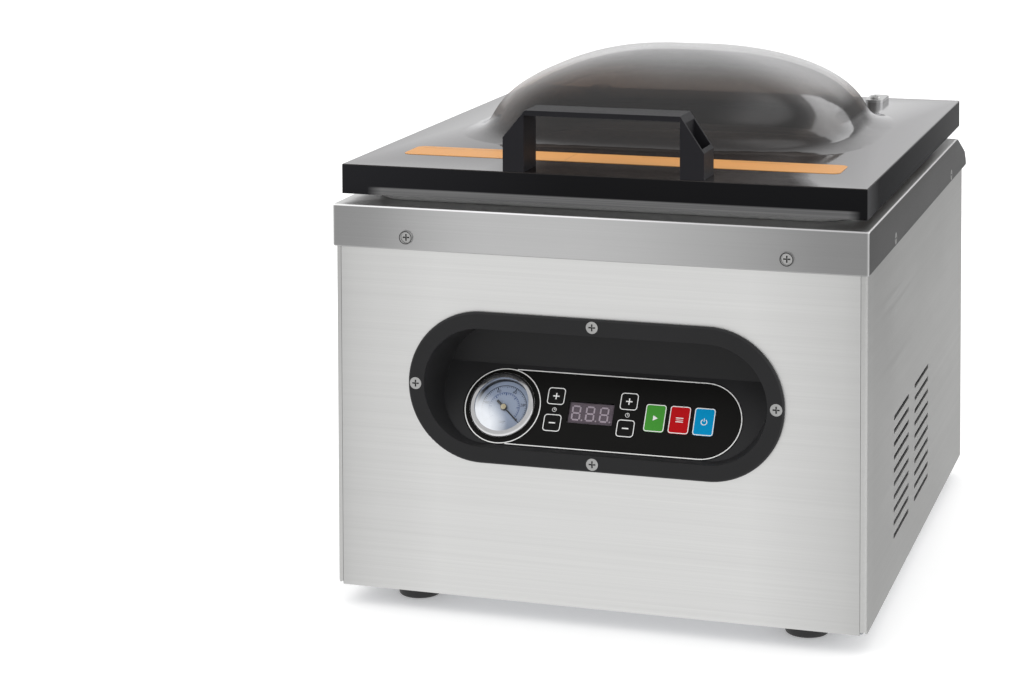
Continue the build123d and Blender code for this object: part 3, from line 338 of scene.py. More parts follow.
def acrylic_material():
    """Smoked acrylic: black at the thick sawn edges, tinted and clear through the dome; the edges carry painted light
    and a painted see-through band, and the plate's gloss has a patch of painted shade.
    """
    M = Mat("smoked_acrylic")
    o = M.xyz(M.tc.outputs["Object"])
    g = M.n("ShaderNodeNewGeometry")
    nrm = M.xyz(g.outputs["Normal"])
    top_z = 0.2990
    in_dome = M.remap(o[2], top_z + 0.0005, top_z + 0.014, 0.0, 1.0)
    cloud = M.noise(9.0, detail=3.0)
    tint_plate = M.mixc(M.remap(cloud, 0.3, 0.7, 0.0, 1.0), (0.13, 0.098, 0.082), (0.165, 0.126, 0.105))
    tint_dome = M.mixc(M.remap(cloud, 0.3, 0.7, 0.0, 1.0), (0.575, 0.572, 0.57), (0.605, 0.602, 0.60))
    low = M.remap(o[2], top_z + 0.008, top_z + 0.034, 1.0, 0.0)
    tint_dome = multiply(M, tint_dome, (1.06, 0.93, 0.84), low)
    lw = M.n("ShaderNodeLayerWeight")
    lw.inputs["Blend"].default_value = 0.5
    rim = M.math("MULTIPLY", M.remap(lw.outputs["Facing"], 0.45, 0.90, 0.0, 1.0), M.remap(M.math("ABSOLUTE", nrm[2]), 0.60, 0.86, 1.0, 0.0))
    tint_dome = multiply(M, tint_dome, (0.52, 0.505, 0.49), rim)
    tint_dome = multiply(M, tint_dome, (0.98, 0.90, 0.84), M.math("MULTIPLY", M.remap(o[0], -0.090, -0.040, 1.0, 0.0), M.remap(o[2], top_z + 0.030, top_z + 0.050, 1.0, 0.0)))
    far = M.math("MULTIPLY", M.remap(o[1], 0.03, 0.09, 0.0, 1.0), M.remap(o[2], top_z + 0.002, top_z + 0.040, 1.0, 0.0))
    tint_dome = multiply(M, tint_dome, (0.60, 0.59, 0.58), far)
    tint = M.mixc(in_dome, tint_plate, tint_dome)
    edge_mask = M.math("MULTIPLY", M.remap(M.math("ABSOLUTE", nrm[2]), 0.2, 0.5, 1.0, 0.0), M.remap(o[2], top_z - 0.0006, top_z + 0.0004, 1.0, 0.0))
    micro = M.noise(260.0, detail=3.0, seed=4.0)
    wave = M.noise(3.2, detail=1.0, seed=1.0)
    scratch = M.noise(1.0, (40.0, 900.0, 40.0), detail=2.0, seed=5.0)
    bump = M.bump(wave, 0.10, 0.004)
    bump = M.bump(micro, 0.02, 0.0001, bump)
    rough = M.math("ADD", M.remap(micro, 0.3, 0.7, 0.05, 0.08), M.remap(scratch, 0.55, 0.8, 0.0, 0.012))
    clear = M.n("ShaderNodeBsdfTransparent")
    M.link(tint, clear.inputs["Color"])
    gloss = M.n("ShaderNodeBsdfGlossy")
    M.val(gloss.inputs["Roughness"], rough)
    gloss.inputs["Color"].default_value = (0.95, 0.95, 0.96, 1)
    M.link(bump, gloss.inputs["Normal"])
    # the same reflectance from either side of the wall
    fr = M.n("ShaderNodeFresnel")
    M.link(M.remap(g.outputs["Backfacing"], 0.0, 1.0, 1.66, 1.0 / 1.66), fr.inputs["IOR"])
    M.link(bump, fr.inputs["Normal"])
    inner = M.math("MULTIPLY", fr.outputs[0], M.remap(g.outputs["Backfacing"], 0.0, 1.0, 1.0, 0.4))
    crown = M.remap(M.math("ABSOLUTE", nrm[2]), 0.60, 0.86, 0.0, 0.36)
    cap = M.math("ADD", M.remap(in_dome, 0.0, 1.0, 1.0, 0.16), crown)
    inner = M.math("MINIMUM", inner, cap)
    # painted shade: the plate's gloss dimmed in a fixed patch between the handle legs, standing in for the handle's
    # darker reflection
    handle_shade = M.math("MULTIPLY", M.remap(M.math("ABSOLUTE", o[0]), 0.045, 0.080, 1.0, 0.0), M.remap(o[1], -0.190, -0.165, 1.0, 0.0))
    inner = M.math("MULTIPLY", inner, M.remap(handle_shade, 0.0, 1.0, 1.0, 0.62))
    haze = M.n("ShaderNodeBsdfDiffuse")
    haze.inputs["Color"].default_value = (0.015, 0.0095, 0.0075, 1)
    mix_h = M.n("ShaderNodeMixShader")
    M.val(mix_h.inputs[0], M.remap(in_dome, 0.0, 1.0, 0.45, 0.06))
    M.link(clear.outputs[0], mix_h.inputs[1])
    M.link(haze.outputs[0], mix_h.inputs[2])
    mix = M.n("ShaderNodeMixShader")
    M.link(inner, mix.inputs[0])
    M.link(mix_h.outputs[0], mix.inputs[1])
    M.link(gloss.outputs[0], mix.inputs[2])
    # sawn edge: painted see-through, the base colour turns to a paler streaked band along its lower third, standing in
    # for the gasket seen through the edge
    ax = M.math("ABSOLUTE", o[0])
    seen = M.math("MULTIPLY", M.remap(o[2], 0.2838, 0.2846, 1.0, 0.0), M.math("MULTIPLY", M.remap(o[0], -0.160, -0.150, 0.0, 1.0), M.remap(o[0], 0.166, 0.174, 1.0, 0.0)))
    seen = M.math("MULTIPLY", seen, M.remap(nrm[1], -0.95, -0.6, 1.0, 0.0))
    streak = M.noise(1.0, (4.0, 60.0, 900.0), detail=2.0, seed=6.0)
    band = M.mixc(M.remap(streak, 0.3, 0.7, 0.0, 1.0), (0.085, 0.085, 0.087), (0.16, 0.16, 0.16))
    edge = M.n("ShaderNodeBsdfPrincipled")
    # painted light: the edge colour runs lighter at the left and darker to the right, sits a tone apart on the side
    # faces and is lighter on the right face near the front
    corner = M.math("MULTIPLY", M.remap(o[1], -0.2175, -0.175, 1.0, 0.0), M.remap(nrm[0], 0.7, 0.95, 0.0, 1.0))
    flank = M.remap(M.math("ABSOLUTE", nrm[0]), 0.7, 0.95, 0.0, 1.0)
    body = M.mixc(M.remap(o[0], -0.17, -0.02, 0.0, 1.0), (0.0155, 0.0155, 0.0172), (0.0085, 0.0085, 0.0092))
    body = M.mixc(flank, body, (0.013, 0.013, 0.014))
    body = M.mixc(corner, body, (0.055, 0.055, 0.057))
    M.link(M.mixc(seen, body, band), edge.inputs["Base Color"])
    edge.inputs["Roughness"].default_value = 0.22
    edge.inputs["Specular IOR Level"].default_value = 0.0015
    M.link(M.bump(M.noise(1.0, (30, 30, 600), detail=2.0, seed=6.0), 0.05, 0.0003), edge.inputs["Normal"])
    fin = M.n("ShaderNodeMixShader")
    M.link(edge_mask, fin.inputs[0])
    M.link(mix.outputs[0], fin.inputs[1])
    M.link(edge.outputs[0], fin.inputs[2])
    M.link(fin.outputs[0], M.out.inputs["Surface"])
    return M


acrylic = acrylic_material()


def clear_material(name, tint, ior=1.45, rough=0.02):
    M = Mat(name)
    micro = M.noise(300.0, detail=2.0)
    clear = M.n("ShaderNodeBsdfTransparent")
    clear.inputs["Color"].default_value = (*tint, 1)
    gloss = M.n("ShaderNodeBsdfGlossy")
    M.val(gloss.inputs["Roughness"], M.remap(micro, 0.3, 0.7, rough, rough + 0.03))
    nb = M.bump(M.noise(20.0, detail=1.0, seed=2.0), 0.03, 0.001)
    M.link(nb, gloss.inputs["Normal"])
    fr = M.n("ShaderNodeFresnel")
    fr.inputs["IOR"].default_value = ior
    mix = M.n("ShaderNodeMixShader")
    M.link(fr.outputs[0], mix.inputs[0])
    M.link(clear.outputs[0], mix.inputs[1])
    M.link(gloss.outputs[0], mix.inputs[2])
    M.link(mix.outputs[0], M.out.inputs["Surface"])
    return M


def gauge_glass_material():
    """Slightly bulged gauge glass with a painted reflection: an emission patch low on its left stands in for a soft
    white card mirrored there.
    """
    M = Mat("gauge_clear")
    o = M.xyz(M.tc.outputs["Object"])
    gx, gy, gz = -0.068, -0.20718, 0.13916
    du = M.math("MULTIPLY", M.math("SUBTRACT", o[0], gx), 1.0 / 0.0185)
    dv = M.math("MULTIPLY", M.math("ADD", M.math("MULTIPLY", M.math("SUBTRACT", o[1], gy), 0.5736), M.math("MULTIPLY", M.math("SUBTRACT", o[2], gz), 0.8192)), 1.0 / 0.0185)
    bulge = 0.20
    nx = M.math("MULTIPLY", du, bulge)
    nv = M.math("MULTIPLY", dv, bulge)
    comb = M.n("ShaderNodeCombineXYZ")
    M.link(nx, comb.inputs[0])
    M.link(M.math("ADD", -0.8192, M.math("MULTIPLY", nv, 0.5736)), comb.inputs[1])
    M.link(M.math("ADD", 0.5736, M.math("MULTIPLY", nv, 0.8192)), comb.inputs[2])
    nn = M.n("ShaderNodeVectorMath", operation="NORMALIZE")
    M.link(comb.outputs[0], nn.inputs[0])
    g = M.n("ShaderNodeNewGeometry")
    refl = M.n("ShaderNodeVectorMath", operation="REFLECT")
    M.link(g.outputs["Incoming"], refl.inputs[0])
    M.link(nn.outputs[0], refl.inputs[1])
    # direction of the mirrored room, pointing away from the glass
    inv = M.n("ShaderNodeVectorMath", operation="SCALE")
    inv.inputs["Scale"].default_value = -1.0
    M.link(refl.outputs[0], inv.inputs[0])
    card = M.n("ShaderNodeVectorMath", operation="DOT_PRODUCT")
    M.link(inv.outputs[0], card.inputs[0])
    card.inputs[1].default_value = Vector((-0.66, -0.66, 0.42)).normalized()
    lit = M.remap(card.outputs["Value"], 0.86, 0.96, 0.0, 1.0)
    veil = M.remap(M.noise(40.0, detail=2.0), 0.3, 0.7, 0.85, 1.0)
    lit = M.math("MULTIPLY", lit, veil)
    place = M.math("ADD", M.math("MULTIPLY", du, -0.55), M.math("MULTIPLY", dv, -0.83))
    lit = M.math("MULTIPLY", lit, M.remap(place, -0.30, 0.45, 0.0, 1.0))
    clear = M.n("ShaderNodeBsdfTransparent")
    clear.inputs["Color"].default_value = (0.96, 0.97, 0.99, 1)
    # painted reflection: the card is an emission glow on the glass, not a reflected lamp
    em = M.n("ShaderNodeEmission")
    em.inputs["Color"].default_value = (0.93, 0.96, 1.0, 1)
    em.inputs["Strength"].default_value = 1.06
    gloss = M.n("ShaderNodeBsdfGlossy")
    gloss.inputs["Roughness"].default_value = 0.03
    M.link(nn.outputs[0], gloss.inputs["Normal"])
    front = M.remap(g.outputs["Backfacing"], 0.0, 1.0, 1.0, 0.0)
    a = M.n("ShaderNodeMixShader")
    M.link(M.math("MULTIPLY", front, 0.045), a.inputs[0])
    M.link(clear.outputs[0], a.inputs[1])
    M.link(gloss.outputs[0], a.inputs[2])
    b = M.n("ShaderNodeMixShader")
    M.link(M.math("MULTIPLY", front, M.math("MULTIPLY", lit, 0.88)), b.inputs[0])
    M.link(a.outputs[0], b.inputs[1])
    M.link(em.outputs[0], b.inputs[2])
    M.link(b.outputs[0], M.out.inputs["Surface"])
    return M


gauge_clear = gauge_glass_material()


def window_material():
    M = Mat("window_clear")
    clear = M.n("ShaderNodeBsdfTransparent")
    M.link(M.mixc(M.remap(M.noise(60.0), 0.3, 0.7, 0.0, 1.0), (0.88, 0.86, 0.88), (0.91, 0.89, 0.91)), clear.inputs["Color"])
    gloss = M.n("ShaderNodeBsdfGlossy")
    M.val(gloss.inputs["Roughness"], M.remap(M.noise(300.0, detail=2.0), 0.3, 0.7, 0.10, 0.14))
    mix = M.n("ShaderNodeMixShader")
    mix.inputs[0].default_value = 0.015
    M.link(clear.outputs[0], mix.inputs[1])
    M.link(gloss.outputs[0], mix.inputs[2])
    M.link(mix.outputs[0], M.out.inputs["Surface"])
    return M


window_clear = window_material()

foot_rubber = plastic("foot_rubber", (0.012, 0.012, 0.012), 0.6, bump=0.3, dist=0.0001, wear=(0.03, 0.03, 0.03))
bezel_plastic = plastic("bezel_plastic", (0.021, 0.021, 0.022), 0.38, grain_scale=1400.0, bump=0.10, dist=0.00005, spec=0.22, wear=(0.05, 0.05, 0.052), edge_r=0.0005)
bz = bezel_plastic
# painted shade: the bezel's front-facing faces get their base colour halved
bz_n = bz.xyz(bz.n("ShaderNodeNewGeometry").outputs["Normal"])
bz_front_shade = bz.remap(bz_n[1], -0.99, -0.90, 1.0, 0.0)
bz_src = bz.p.inputs["Base Color"].links[0].from_socket if bz.p.inputs["Base Color"].links else None
if bz_src is not None:
    bz.link(multiply(bz, bz_src, (0.50, 0.50, 0.51), bz_front_shade), bz.p.inputs["Base Color"])
overlay_film = plastic("overlay_film", (0.0072, 0.0070, 0.0066), 0.36, grain_scale=2200.0, bump=0.08, dist=0.00003, spec=0.09)
key_black = plastic("key_black", (0.0080, 0.0078, 0.0074), 0.35, grain_scale=2200.0, bump=0.08, dist=0.00003, spec=0.10)
key_green = plastic("key_green", (0.050, 0.27, 0.030), 0.36, grain_scale=2200.0, bump=0.08, dist=0.00003, var=0.05, spec=0.15)
key_red = plastic("key_red", (0.43, 0.005, 0.008), 0.38, grain_scale=2200.0, bump=0.08, dist=0.00003, var=0.05, spec=0.06)
key_blue = plastic("key_blue", (0.0, 0.25, 0.50), 0.38, grain_scale=2200.0, bump=0.08, dist=0.00003, var=0.05, spec=0.06)
print_white = plastic("print_white", (0.80, 0.80, 0.79), 0.5, var=0.03)
print_grey = plastic("print_grey", (0.33, 0.33, 0.33), 0.5, var=0.05)
segment_grey = plastic("segment_grey", (0.56, 0.52, 0.55), 0.5, var=0.04, spec=0.2)
module_grey = plastic("module_grey", (0.15, 0.13, 0.145), 0.6, var=0.05, spec=0.2)
board_green = plastic("board_green", (0.015, 0.11, 0.035), 0.4, grain_scale=500.0, var=0.2)
chrome = brushed("gauge_chrome", (0.72, 0.72, 0.73), 0.12, "Z", strength=0.01, var=0.03, scale=0.2, smudge=0.03)
gauge_black = plastic("gauge_black", (0.02, 0.02, 0.02), 0.45, wear=(0.1, 0.1, 0.1))
dial_white = plastic("dial_white", (0.36, 0.41, 0.50), 0.45, var=0.05, spec=0.2)
dial_ink = plastic("dial_ink", (0.015, 0.02, 0.035), 0.5, var=0.1, spec=0.2)
dial_blue = plastic("dial_blue", (0.02, 0.06, 0.20), 0.5, var=0.1, spec=0.2)
needle_black = plastic("needle_black", (0.012, 0.012, 0.013), 0.4, var=0.1)
hub_gold = brushed("hub_gold", (0.85, 0.68, 0.42), 0.2, "Z", strength=0.02, var=0.06, scale=0.2)
gasket_grey = plastic("gasket_grey", (0.46, 0.46, 0.46), 0.5, bump=0.2, dist=0.0001, var=0.06)
handle_plastic = plastic("handle_plastic", (0.0155, 0.0152, 0.0175), 0.48, grain_scale=700.0, bump=0.22, dist=0.00010, wear=(0.040, 0.040, 0.045), spec=0.05, edge_r=0.0006)
# painted shade colour for the rings round the front deck screws
countersink_shade = plastic("countersink_shade", (0.03, 0.03, 0.03), 0.5, var=0.05, spec=0.1)
label_orange = plastic("label_orange", (0.68, 0.32, 0.095), 0.48, var=0.04, spec=0.2)
label_dark = plastic("label_dark", (0.45, 0.20, 0.06), 0.5, var=0.05)
silicone = plastic("silicone", (0.50, 0.47, 0.42), 0.5, bump=0.15, var=0.05)
release_tape = plastic("release_tape", (0.22, 0.12, 0.05), 0.38, grain_scale=500.0, bump=0.5, dist=0.0002, var=0.15)
insulator = plastic("insulator", (0.42, 0.37, 0.28), 0.6, grain_scale=600.0, bump=0.3, var=0.12)
heater_alloy = brushed("heater_alloy", (0.45, 0.41, 0.37), 0.3, "X", strength=0.05, var=0.1)
white_polymer = plastic("white_polymer", (0.74, 0.75, 0.74), 0.48, grain_scale=500.0, bump=0.2, dist=0.0001, var=0.03)
pump_casting = plastic("pump_casting", (0.26, 0.27, 0.28), 0.5, grain_scale=350.0, bump=0.5, dist=0.0003, var=0.12, metallic=0.7, wear=(0.5, 0.5, 0.5))
motor_paint = plastic("motor_paint", (0.045, 0.05, 0.06), 0.45, grain_scale=500.0, bump=0.3, dist=0.0002, wear=(0.2, 0.2, 0.2))
fan_plastic = plastic("fan_plastic", (0.02, 0.02, 0.02), 0.45, wear=(0.06, 0.06, 0.06))
transformer_m = plastic("transformer_steel", (0.12, 0.10, 0.08), 0.45, grain_scale=400.0, bump=0.3, dist=0.0002, metallic=0.5)
brass = brushed("brass", (0.62, 0.45, 0.20), 0.3, "Z", strength=0.08, var=0.1, scale=0.4)
hose_rubber = plastic("hose_rubber", (0.02, 0.02, 0.02), 0.5, wear=None, var=0.2)
inlet_plastic = plastic("inlet_plastic", (0.015, 0.015, 0.015), 0.4, wear=(0.05, 0.05, 0.05))
switch_plastic = plastic("switch_plastic", (0.02, 0.02, 0.025), 0.45)
plunger_plastic = plastic("plunger_plastic", (0.55, 0.55, 0.54), 0.4)

TABLE = {
    "base_plate": zinc_steel, "rubber_feet": foot_rubber, "foot_screws": screw_steel, "front_panel": front_steel, "right_side_panel": side_steel, "left_side_panel": side_steel,
    "back_panel": front_steel, "rear_screws": screw_steel, "top_deck": deck_steel, "deck_screws": screw_steel, "chamber_tub": chamber_steel, "suction_port_cover": bright_steel,
    "filler_plate": white_polymer, "lift_cylinders": alu, "lid_hinge_brackets": hinge_steel, "lid_hinge_pins": bright_steel, "lid_hinge_springs": spring_steel, "lid_switch": switch_plastic,
    "control_bezel": bezel_plastic, "bezel_screws": screw_steel, "control_overlay": overlay_film, "display_window": window_clear, "display_segments": segment_grey, "control_board": module_grey,
    "gauge_case": gauge_black, "gauge_bezel": chrome, "gauge_dial": dial_white, "gauge_glass": gauge_clear, "pump_motor": motor_paint, "fan_cowl": fan_plastic, "vacuum_pump": pump_casting,
    "transformer": transformer_m, "power_board": board_green, "solenoid_valves": brass, "chamber_ports": brass, "vacuum_hoses": hose_rubber, "power_inlet": inlet_plastic,
    "lid_shell": acrylic, "lid_gasket": gasket_grey, "counter_bar_rail": alu, "counter_bar_pad": silicone, "lid_handle": handle_plastic, "lid_label": label_orange, "lid_hinge_straps": hinge_steel,
    "strap_screws": screw_steel, "seal_bar": alu, "seal_bar_insulator": insulator, "heating_wires": heater_alloy, "seal_bar_tape": release_tape, "lift_rods": bright_steel,
    "motor_rotor": bright_steel, "gauge_needle": needle_black, "lid_switch_plunger": plunger_plastic, "vacuum_plus_key": key_black, "vacuum_minus_key": key_black, "seal_plus_key": key_black,
    "seal_minus_key": key_black, "start_key": key_green, "seal_key": key_red, "power_key": key_blue,
}
for name, mat in TABLE.items():
    assign([N[name]], mat)



def edge_split_group():
    """Joins coincident corners, keeps folds over 28 degrees crisp and smooths the rest."""
    g = bpy.data.node_groups.new("fold_shading", "GeometryNodeTree")
    g.interface.new_socket("Geometry", in_out="INPUT", socket_type="NodeSocketGeometry")
    g.interface.new_socket("Geometry", in_out="OUTPUT", socket_type="NodeSocketGeometry")
    gi, go = g.nodes.new("NodeGroupInput"), g.nodes.new("NodeGroupOutput")
    mg = g.nodes.new("GeometryNodeMergeByDistance")
    mg.inputs["Distance"].default_value = 2e-6
    ang = g.nodes.new("GeometryNodeInputMeshEdgeAngle")
    cmpn = g.nodes.new("FunctionNodeCompare")
    cmpn.data_type = "FLOAT"
    cmpn.operation = "GREATER_THAN"
    cmpn.inputs[1].default_value = math.radians(28.0)
    st = g.nodes.new("GeometryNodeStoreNamedAttribute")
    st.data_type = "BOOLEAN"
    st.domain = "EDGE"
    st.inputs["Name"].default_value = "sharp_edge"
    sm = g.nodes.new("GeometryNodeSetShadeSmooth")
    g.links.new(gi.outputs[0], mg.inputs["Geometry"])
    g.links.new(mg.outputs[0], st.inputs["Geometry"])
    g.links.new(ang.outputs[0], cmpn.inputs[0])
    g.links.new(cmpn.outputs[0], [i for i in st.inputs if i.name == "Value" and i.enabled][0])
    g.links.new(st.outputs[0], sm.inputs["Geometry"])
    g.links.new(sm.outputs[0], go.inputs[0])
    return g


FOLD = edge_split_group()
for name, o in N.items():
    md = o.modifiers.new("fold_shading", "NODES")
    md.node_group = FOLD

# ------------------------------------------------------------------ printed and fine detail, all riding on CAD bodies
ct, st = math.cos(math.radians(35.0)), math.sin(math.radians(35.0))
FACE_O = Vector((0.0, (-222.7 + 27.05 * st) * MM, (117.0 + 27.05 * ct) * MM))
EX, EY, EZ = Vector((1, 0, 0)), Vector((0, st, ct)), Vector((0, -ct, st))
FACE = Matrix(((EX.x, EY.x, EZ.x, FACE_O.x), (EX.y, EY.y, EZ.y, FACE_O.y), (EX.z, EY.z, EZ.z, FACE_O.z), (0, 0, 0, 1)))


def to_face(p):
    return FACE @ Vector((p[0] * MM, p[1] * MM, p[2] * MM))


def mesh_piece(name, verts, faces, mat, body, matrix=None):
    me = bpy.data.meshes.new(name)
    me.from_pydata([tuple(v) for v in verts], [], faces)
    me.update()
    o = bpy.data.objects.new(name, me)
    scene.collection.objects.link(o)
    o.data.materials.append(mat.m)
    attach(o, body)
    return o


class Shapes:
    """Gathers flat printed shapes as thin solid plates on a face."""

    def __init__(self, xf, z0, z1):
        self.v, self.f, self.xf, self.z0, self.z1 = [], [], xf, z0, z1

    def loop_plate(self, pts):
        n = len(pts)
        b = len(self.v)
        for z in (self.z0, self.z1):
            for p in pts:
                self.v.append(self.xf((p[0], p[1], z)))
        self.f.append(tuple(b + n + i for i in range(n)))
        for i in range(n):
            j = (i + 1) % n
            self.f.append((b + i, b + j, b + n + j, b + n + i))

    def band(self, outer, inner, closed=True):
        n = len(outer)
        b = len(self.v)
        for z in (self.z0, self.z1):
            for loop in (outer, inner):
                for p in loop:
                    self.v.append(self.xf((p[0], p[1], z)))
        rng = range(n) if closed else range(n - 1)
        for i in rng:
            j = (i + 1) % n
            o0, o1, i0, i1 = b + 2 * n + i, b + 2 * n + j, b + 3 * n + i, b + 3 * n + j
            self.f.append((o0, o1, i1, i0))
            self.f.append((b + i, b + j, o1, o0))
            self.f.append((b + n + j, b + n + i, i0, i1))

    def rect(self, cx, cy, w, h, rot=0.0):
        c, s = math.cos(rot), math.sin(rot)
        pts = []
        for dx, dy in ((-w / 2, -h / 2), (w / 2, -h / 2), (w / 2, h / 2), (-w / 2, h / 2)):
            pts.append((cx + dx * c - dy * s, cy + dx * s + dy * c))
        self.loop_plate(pts)

    def ring(self, cx, cy, r, w, a0=0.0, a1=360.0, n=96):
        closed = abs(a1 - a0) >= 359.9
        m = n if closed else n + 1
        ang = [math.radians(a0 + (a1 - a0) * i / n) for i in range(m)]
        self.band([(cx + (r + w / 2) * math.cos(a), cy + (r + w / 2) * math.sin(a)) for a in ang], [(cx + (r - w / 2) * math.cos(a), cy + (r - w / 2) * math.sin(a)) for a in ang], closed)

    def stadium(self, hl, r, w, gap=None, n=40):
        def pts(rr):
            out = []
            for i in range(n + 1):
                a = -math.pi / 2 + math.pi * i / n
                out.append((hl + rr * math.cos(a), rr * math.sin(a)))
            for i in range(n + 1):
                a = math.pi / 2 + math.pi * i / n
                out.append((-hl + rr * math.cos(a), rr * math.sin(a)))
            return out
        self.band(pts(r + w / 2), pts(r - w / 2))

    def rrect(self, cx, cy, w, h, r, lw, n=8):
        def pts(g):
            out = []
            for sx, sy, a0 in ((1, 1, 0), (-1, 1, 90), (-1, -1, 180), (1, -1, 270)):
                for i in range(n + 1):
                    a = math.radians(a0 + 90.0 * i / n)
                    out.append((cx + sx * (w / 2 - r) + (r + g) * math.cos(a), cy + sy * (h / 2 - r) + (r + g) * math.sin(a)))
            return out
        self.band(pts(lw / 2), pts(-lw / 2))

    def build(self, name, mat, body):
        return mesh_piece(name, self.v, self.f, mat, body)


KEYS = {
    "vacuum_plus_key": (-31.9, 9.3, 12.4, 12.2), "vacuum_minus_key": (-31.9, -9.3, 12.4, 12.2), "seal_plus_key": (18.3, 9.3, 12.4, 12.2), "seal_minus_key": (18.3, -9.3, 12.4, 12.2),
    "start_key": (37.2, -0.7, 14.0, 19.0), "seal_key": (53.7, -0.7, 14.0, 19.0), "power_key": (70.2, -0.7, 14.0, 19.0),
}
# outline of the control field and the ring round the gauge
lines = Shapes(to_face, 0.80, 0.87)
HL, RR = 69.0, 26.0
arc = []
for i in range(49):
    a = math.radians(-90 + 180 * i / 48)
    arc.append((HL + RR * math.cos(a), RR * math.sin(a)))
path = [(-62.0, -RR)] + arc + [(-62.0, RR)]


def offset_open(path, d):
    out = []
    for i, p in enumerate(path):
        a = path[max(i - 1, 0)]
        b = path[min(i + 1, len(path) - 1)]
        t = Vector((b[0] - a[0], b[1] - a[1])).normalized()
        out.append((p[0] + t.y * d, p[1] - t.x * d))
    return out


lines.band(offset_open(path, 0.33), offset_open(path, -0.33), closed=False)
lines.ring(-68.0, 0.0, 26.0, 0.66, n=128)
for x, y, w, h in [KEYS[k] for k in ("vacuum_plus_key", "vacuum_minus_key", "seal_plus_key", "seal_minus_key")]:
    pass
lines.build("overlay_outline", print_white, "body")
# small clock symbols between the plus and minus keys
marks = Shapes(to_face, 0.80, 0.86)
for x in (-31.9, 18.3):
    marks.ring(x, 0.0, 1.35, 0.3, n=28)
    marks.rect(x, 0.45, 0.28, 0.9)
    marks.rect(x + 0.35, 0.0, 0.8, 0.28)
marks.build("overlay_symbols", print_white, "body")

for k, (x, y, w, h) in KEYS.items():
    body = k + "_cap"
    s = Shapes(to_face, 1.255, 1.31)
    if "plus" in k or "minus" in k:
        s.rrect(x, y, w - 1.0, h - 1.0, 2.0, 0.55)
        s.rect(x, y, 4.4, 0.8)
        if "plus" in k:
            s.rect(x, y + 1.3, 0.8, 1.8)
            s.rect(x, y - 1.3, 0.8, 1.8)
        s.build(k + "_print", print_white, body)
    else:
        s.rrect(x, y, w - 0.9, h - 0.9, 1.6, 0.55)
        if k == "start_key":
            s.loop_plate([(x - 1.3, y - 1.8), (x + 1.9, y), (x - 1.3, y + 1.8)])
        elif k == "seal_key":
            s.rect(x, y + 1.3, 5.0, 0.55)
            s.rect(x, y - 1.3, 5.0, 0.55)
            s.rect(x, y, 5.0, 0.3)
        else:
            s.ring(x, y - 0.2, 1.9, 0.5, 125, 415, n=40)
            s.rect(x, y + 1.3, 0.5, 2.2)
        s.build(k + "_print", print_white, body)

# dial scale
GX = -68.0
dial = Shapes(to_face, -3.0, -2.95)
blue = Shapes(to_face, -3.0, -2.95)
dial.ring(GX, 0, 15.6, 0.34, -40, 220, n=90)
blue.ring(GX, 0, 10.6, 0.26, -40, 220, n=80)
for i in range(51):
    a = math.radians(-40 + 260 * i / 50)
    L = 2.3 if i % 10 == 0 else (1.7 if i % 5 == 0 else 1.2)
    r = 15.6 - L / 2
    dial.rect(GX + r * math.cos(a), r * math.sin(a), L, 0.62 if i % 10 == 0 else 0.36, a)
for i in range(31):
    a = math.radians(-40 + 260 * i / 30)
    L = 1.9 if i % 5 == 0 else 1.2
    r = 10.6 - L / 2
    blue.rect(GX + r * math.cos(a), r * math.sin(a), L, 0.60 if i % 5 == 0 else 0.36, a)
dial.rect(GX, -9.5, 5.0, 0.3)
dial.rect(GX, -10.6, 3.4, 0.3)
dial.build("dial_scale", dial_ink, "body")
blue.build("dial_inner_scale", dial_blue, "body")


def numeral(text, x, y, size, mat, name, z=-2.99):
    cu = bpy.data.curves.new(name, "FONT")
    cu.body = text
    cu.size = size * MM
    cu.align_x = "CENTER"
    cu.align_y = "CENTER"
    cu.extrude = 0.00003
    tmp = bpy.data.objects.new(name + "_tmp", cu)
    scene.collection.objects.link(tmp)
    bpy.context.view_layer.update()
    dg = bpy.context.evaluated_depsgraph_get()
    me = bpy.data.meshes.new_from_object(tmp.evaluated_get(dg))
    bpy.data.objects.remove(tmp)
    me.transform(FACE @ Matrix.Translation((x * MM, y * MM, z * MM)))
    me.materials.clear()
    me.materials.append(mat.m)
    o = bpy.data.objects.new(name, me)
    scene.collection.objects.link(o)
    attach(o, "body")
    return o


for i in range(6):
    a = math.radians(-40 + 260 * i / 5)
    numeral(str(i * 20), GX + 12.6 * math.cos(a), 12.4 * math.sin(a), 3.0, dial_ink, "dial_number_%d" % i)
# needle cap
cap = Shapes(to_face, -1.2, -0.7)
cap.loop_plate([(GX + 1.9 * math.cos(math.radians(a)), 1.9 * math.sin(math.radians(a))) for a in range(0, 360, 15)])
cap.build("needle_cap", hub_gold, "needle")

# rules on the strip label: one upright divider and a horizontal rule in four pieces
lab = Shapes(lambda p: Vector((p[0] * MM, p[1] * MM, p[2] * MM)), 299.3, 299.33)
lab.rect(-37.5, -148.3, 0.5, 30.0)
for y in (-136.5,):
    for x0, x1 in ((-148.0, -118.0), (-112.0, -84.0), (10.0, 60.0), (72.0, 112.0)):
        lab.rect((x0 + x1) / 2, y, x1 - x0, 1.1)
lab.build("label_rules", label_dark, "lid")

# painted shade: a thin dark ring laid in the countersink round each front deck screw stands in for its shadow
shade_rings = Shapes(lambda p: Vector((p[0] * MM, -(229.0 + p[2]) * MM, p[1] * MM)), 0.0, 0.03)
for x in (-128.9, 128.6):
    shade_rings.ring(x, 253.4, 4.15, 0.55, n=48)
shade_rings.build("front_screw_shade_rings", countersink_shade, "body")

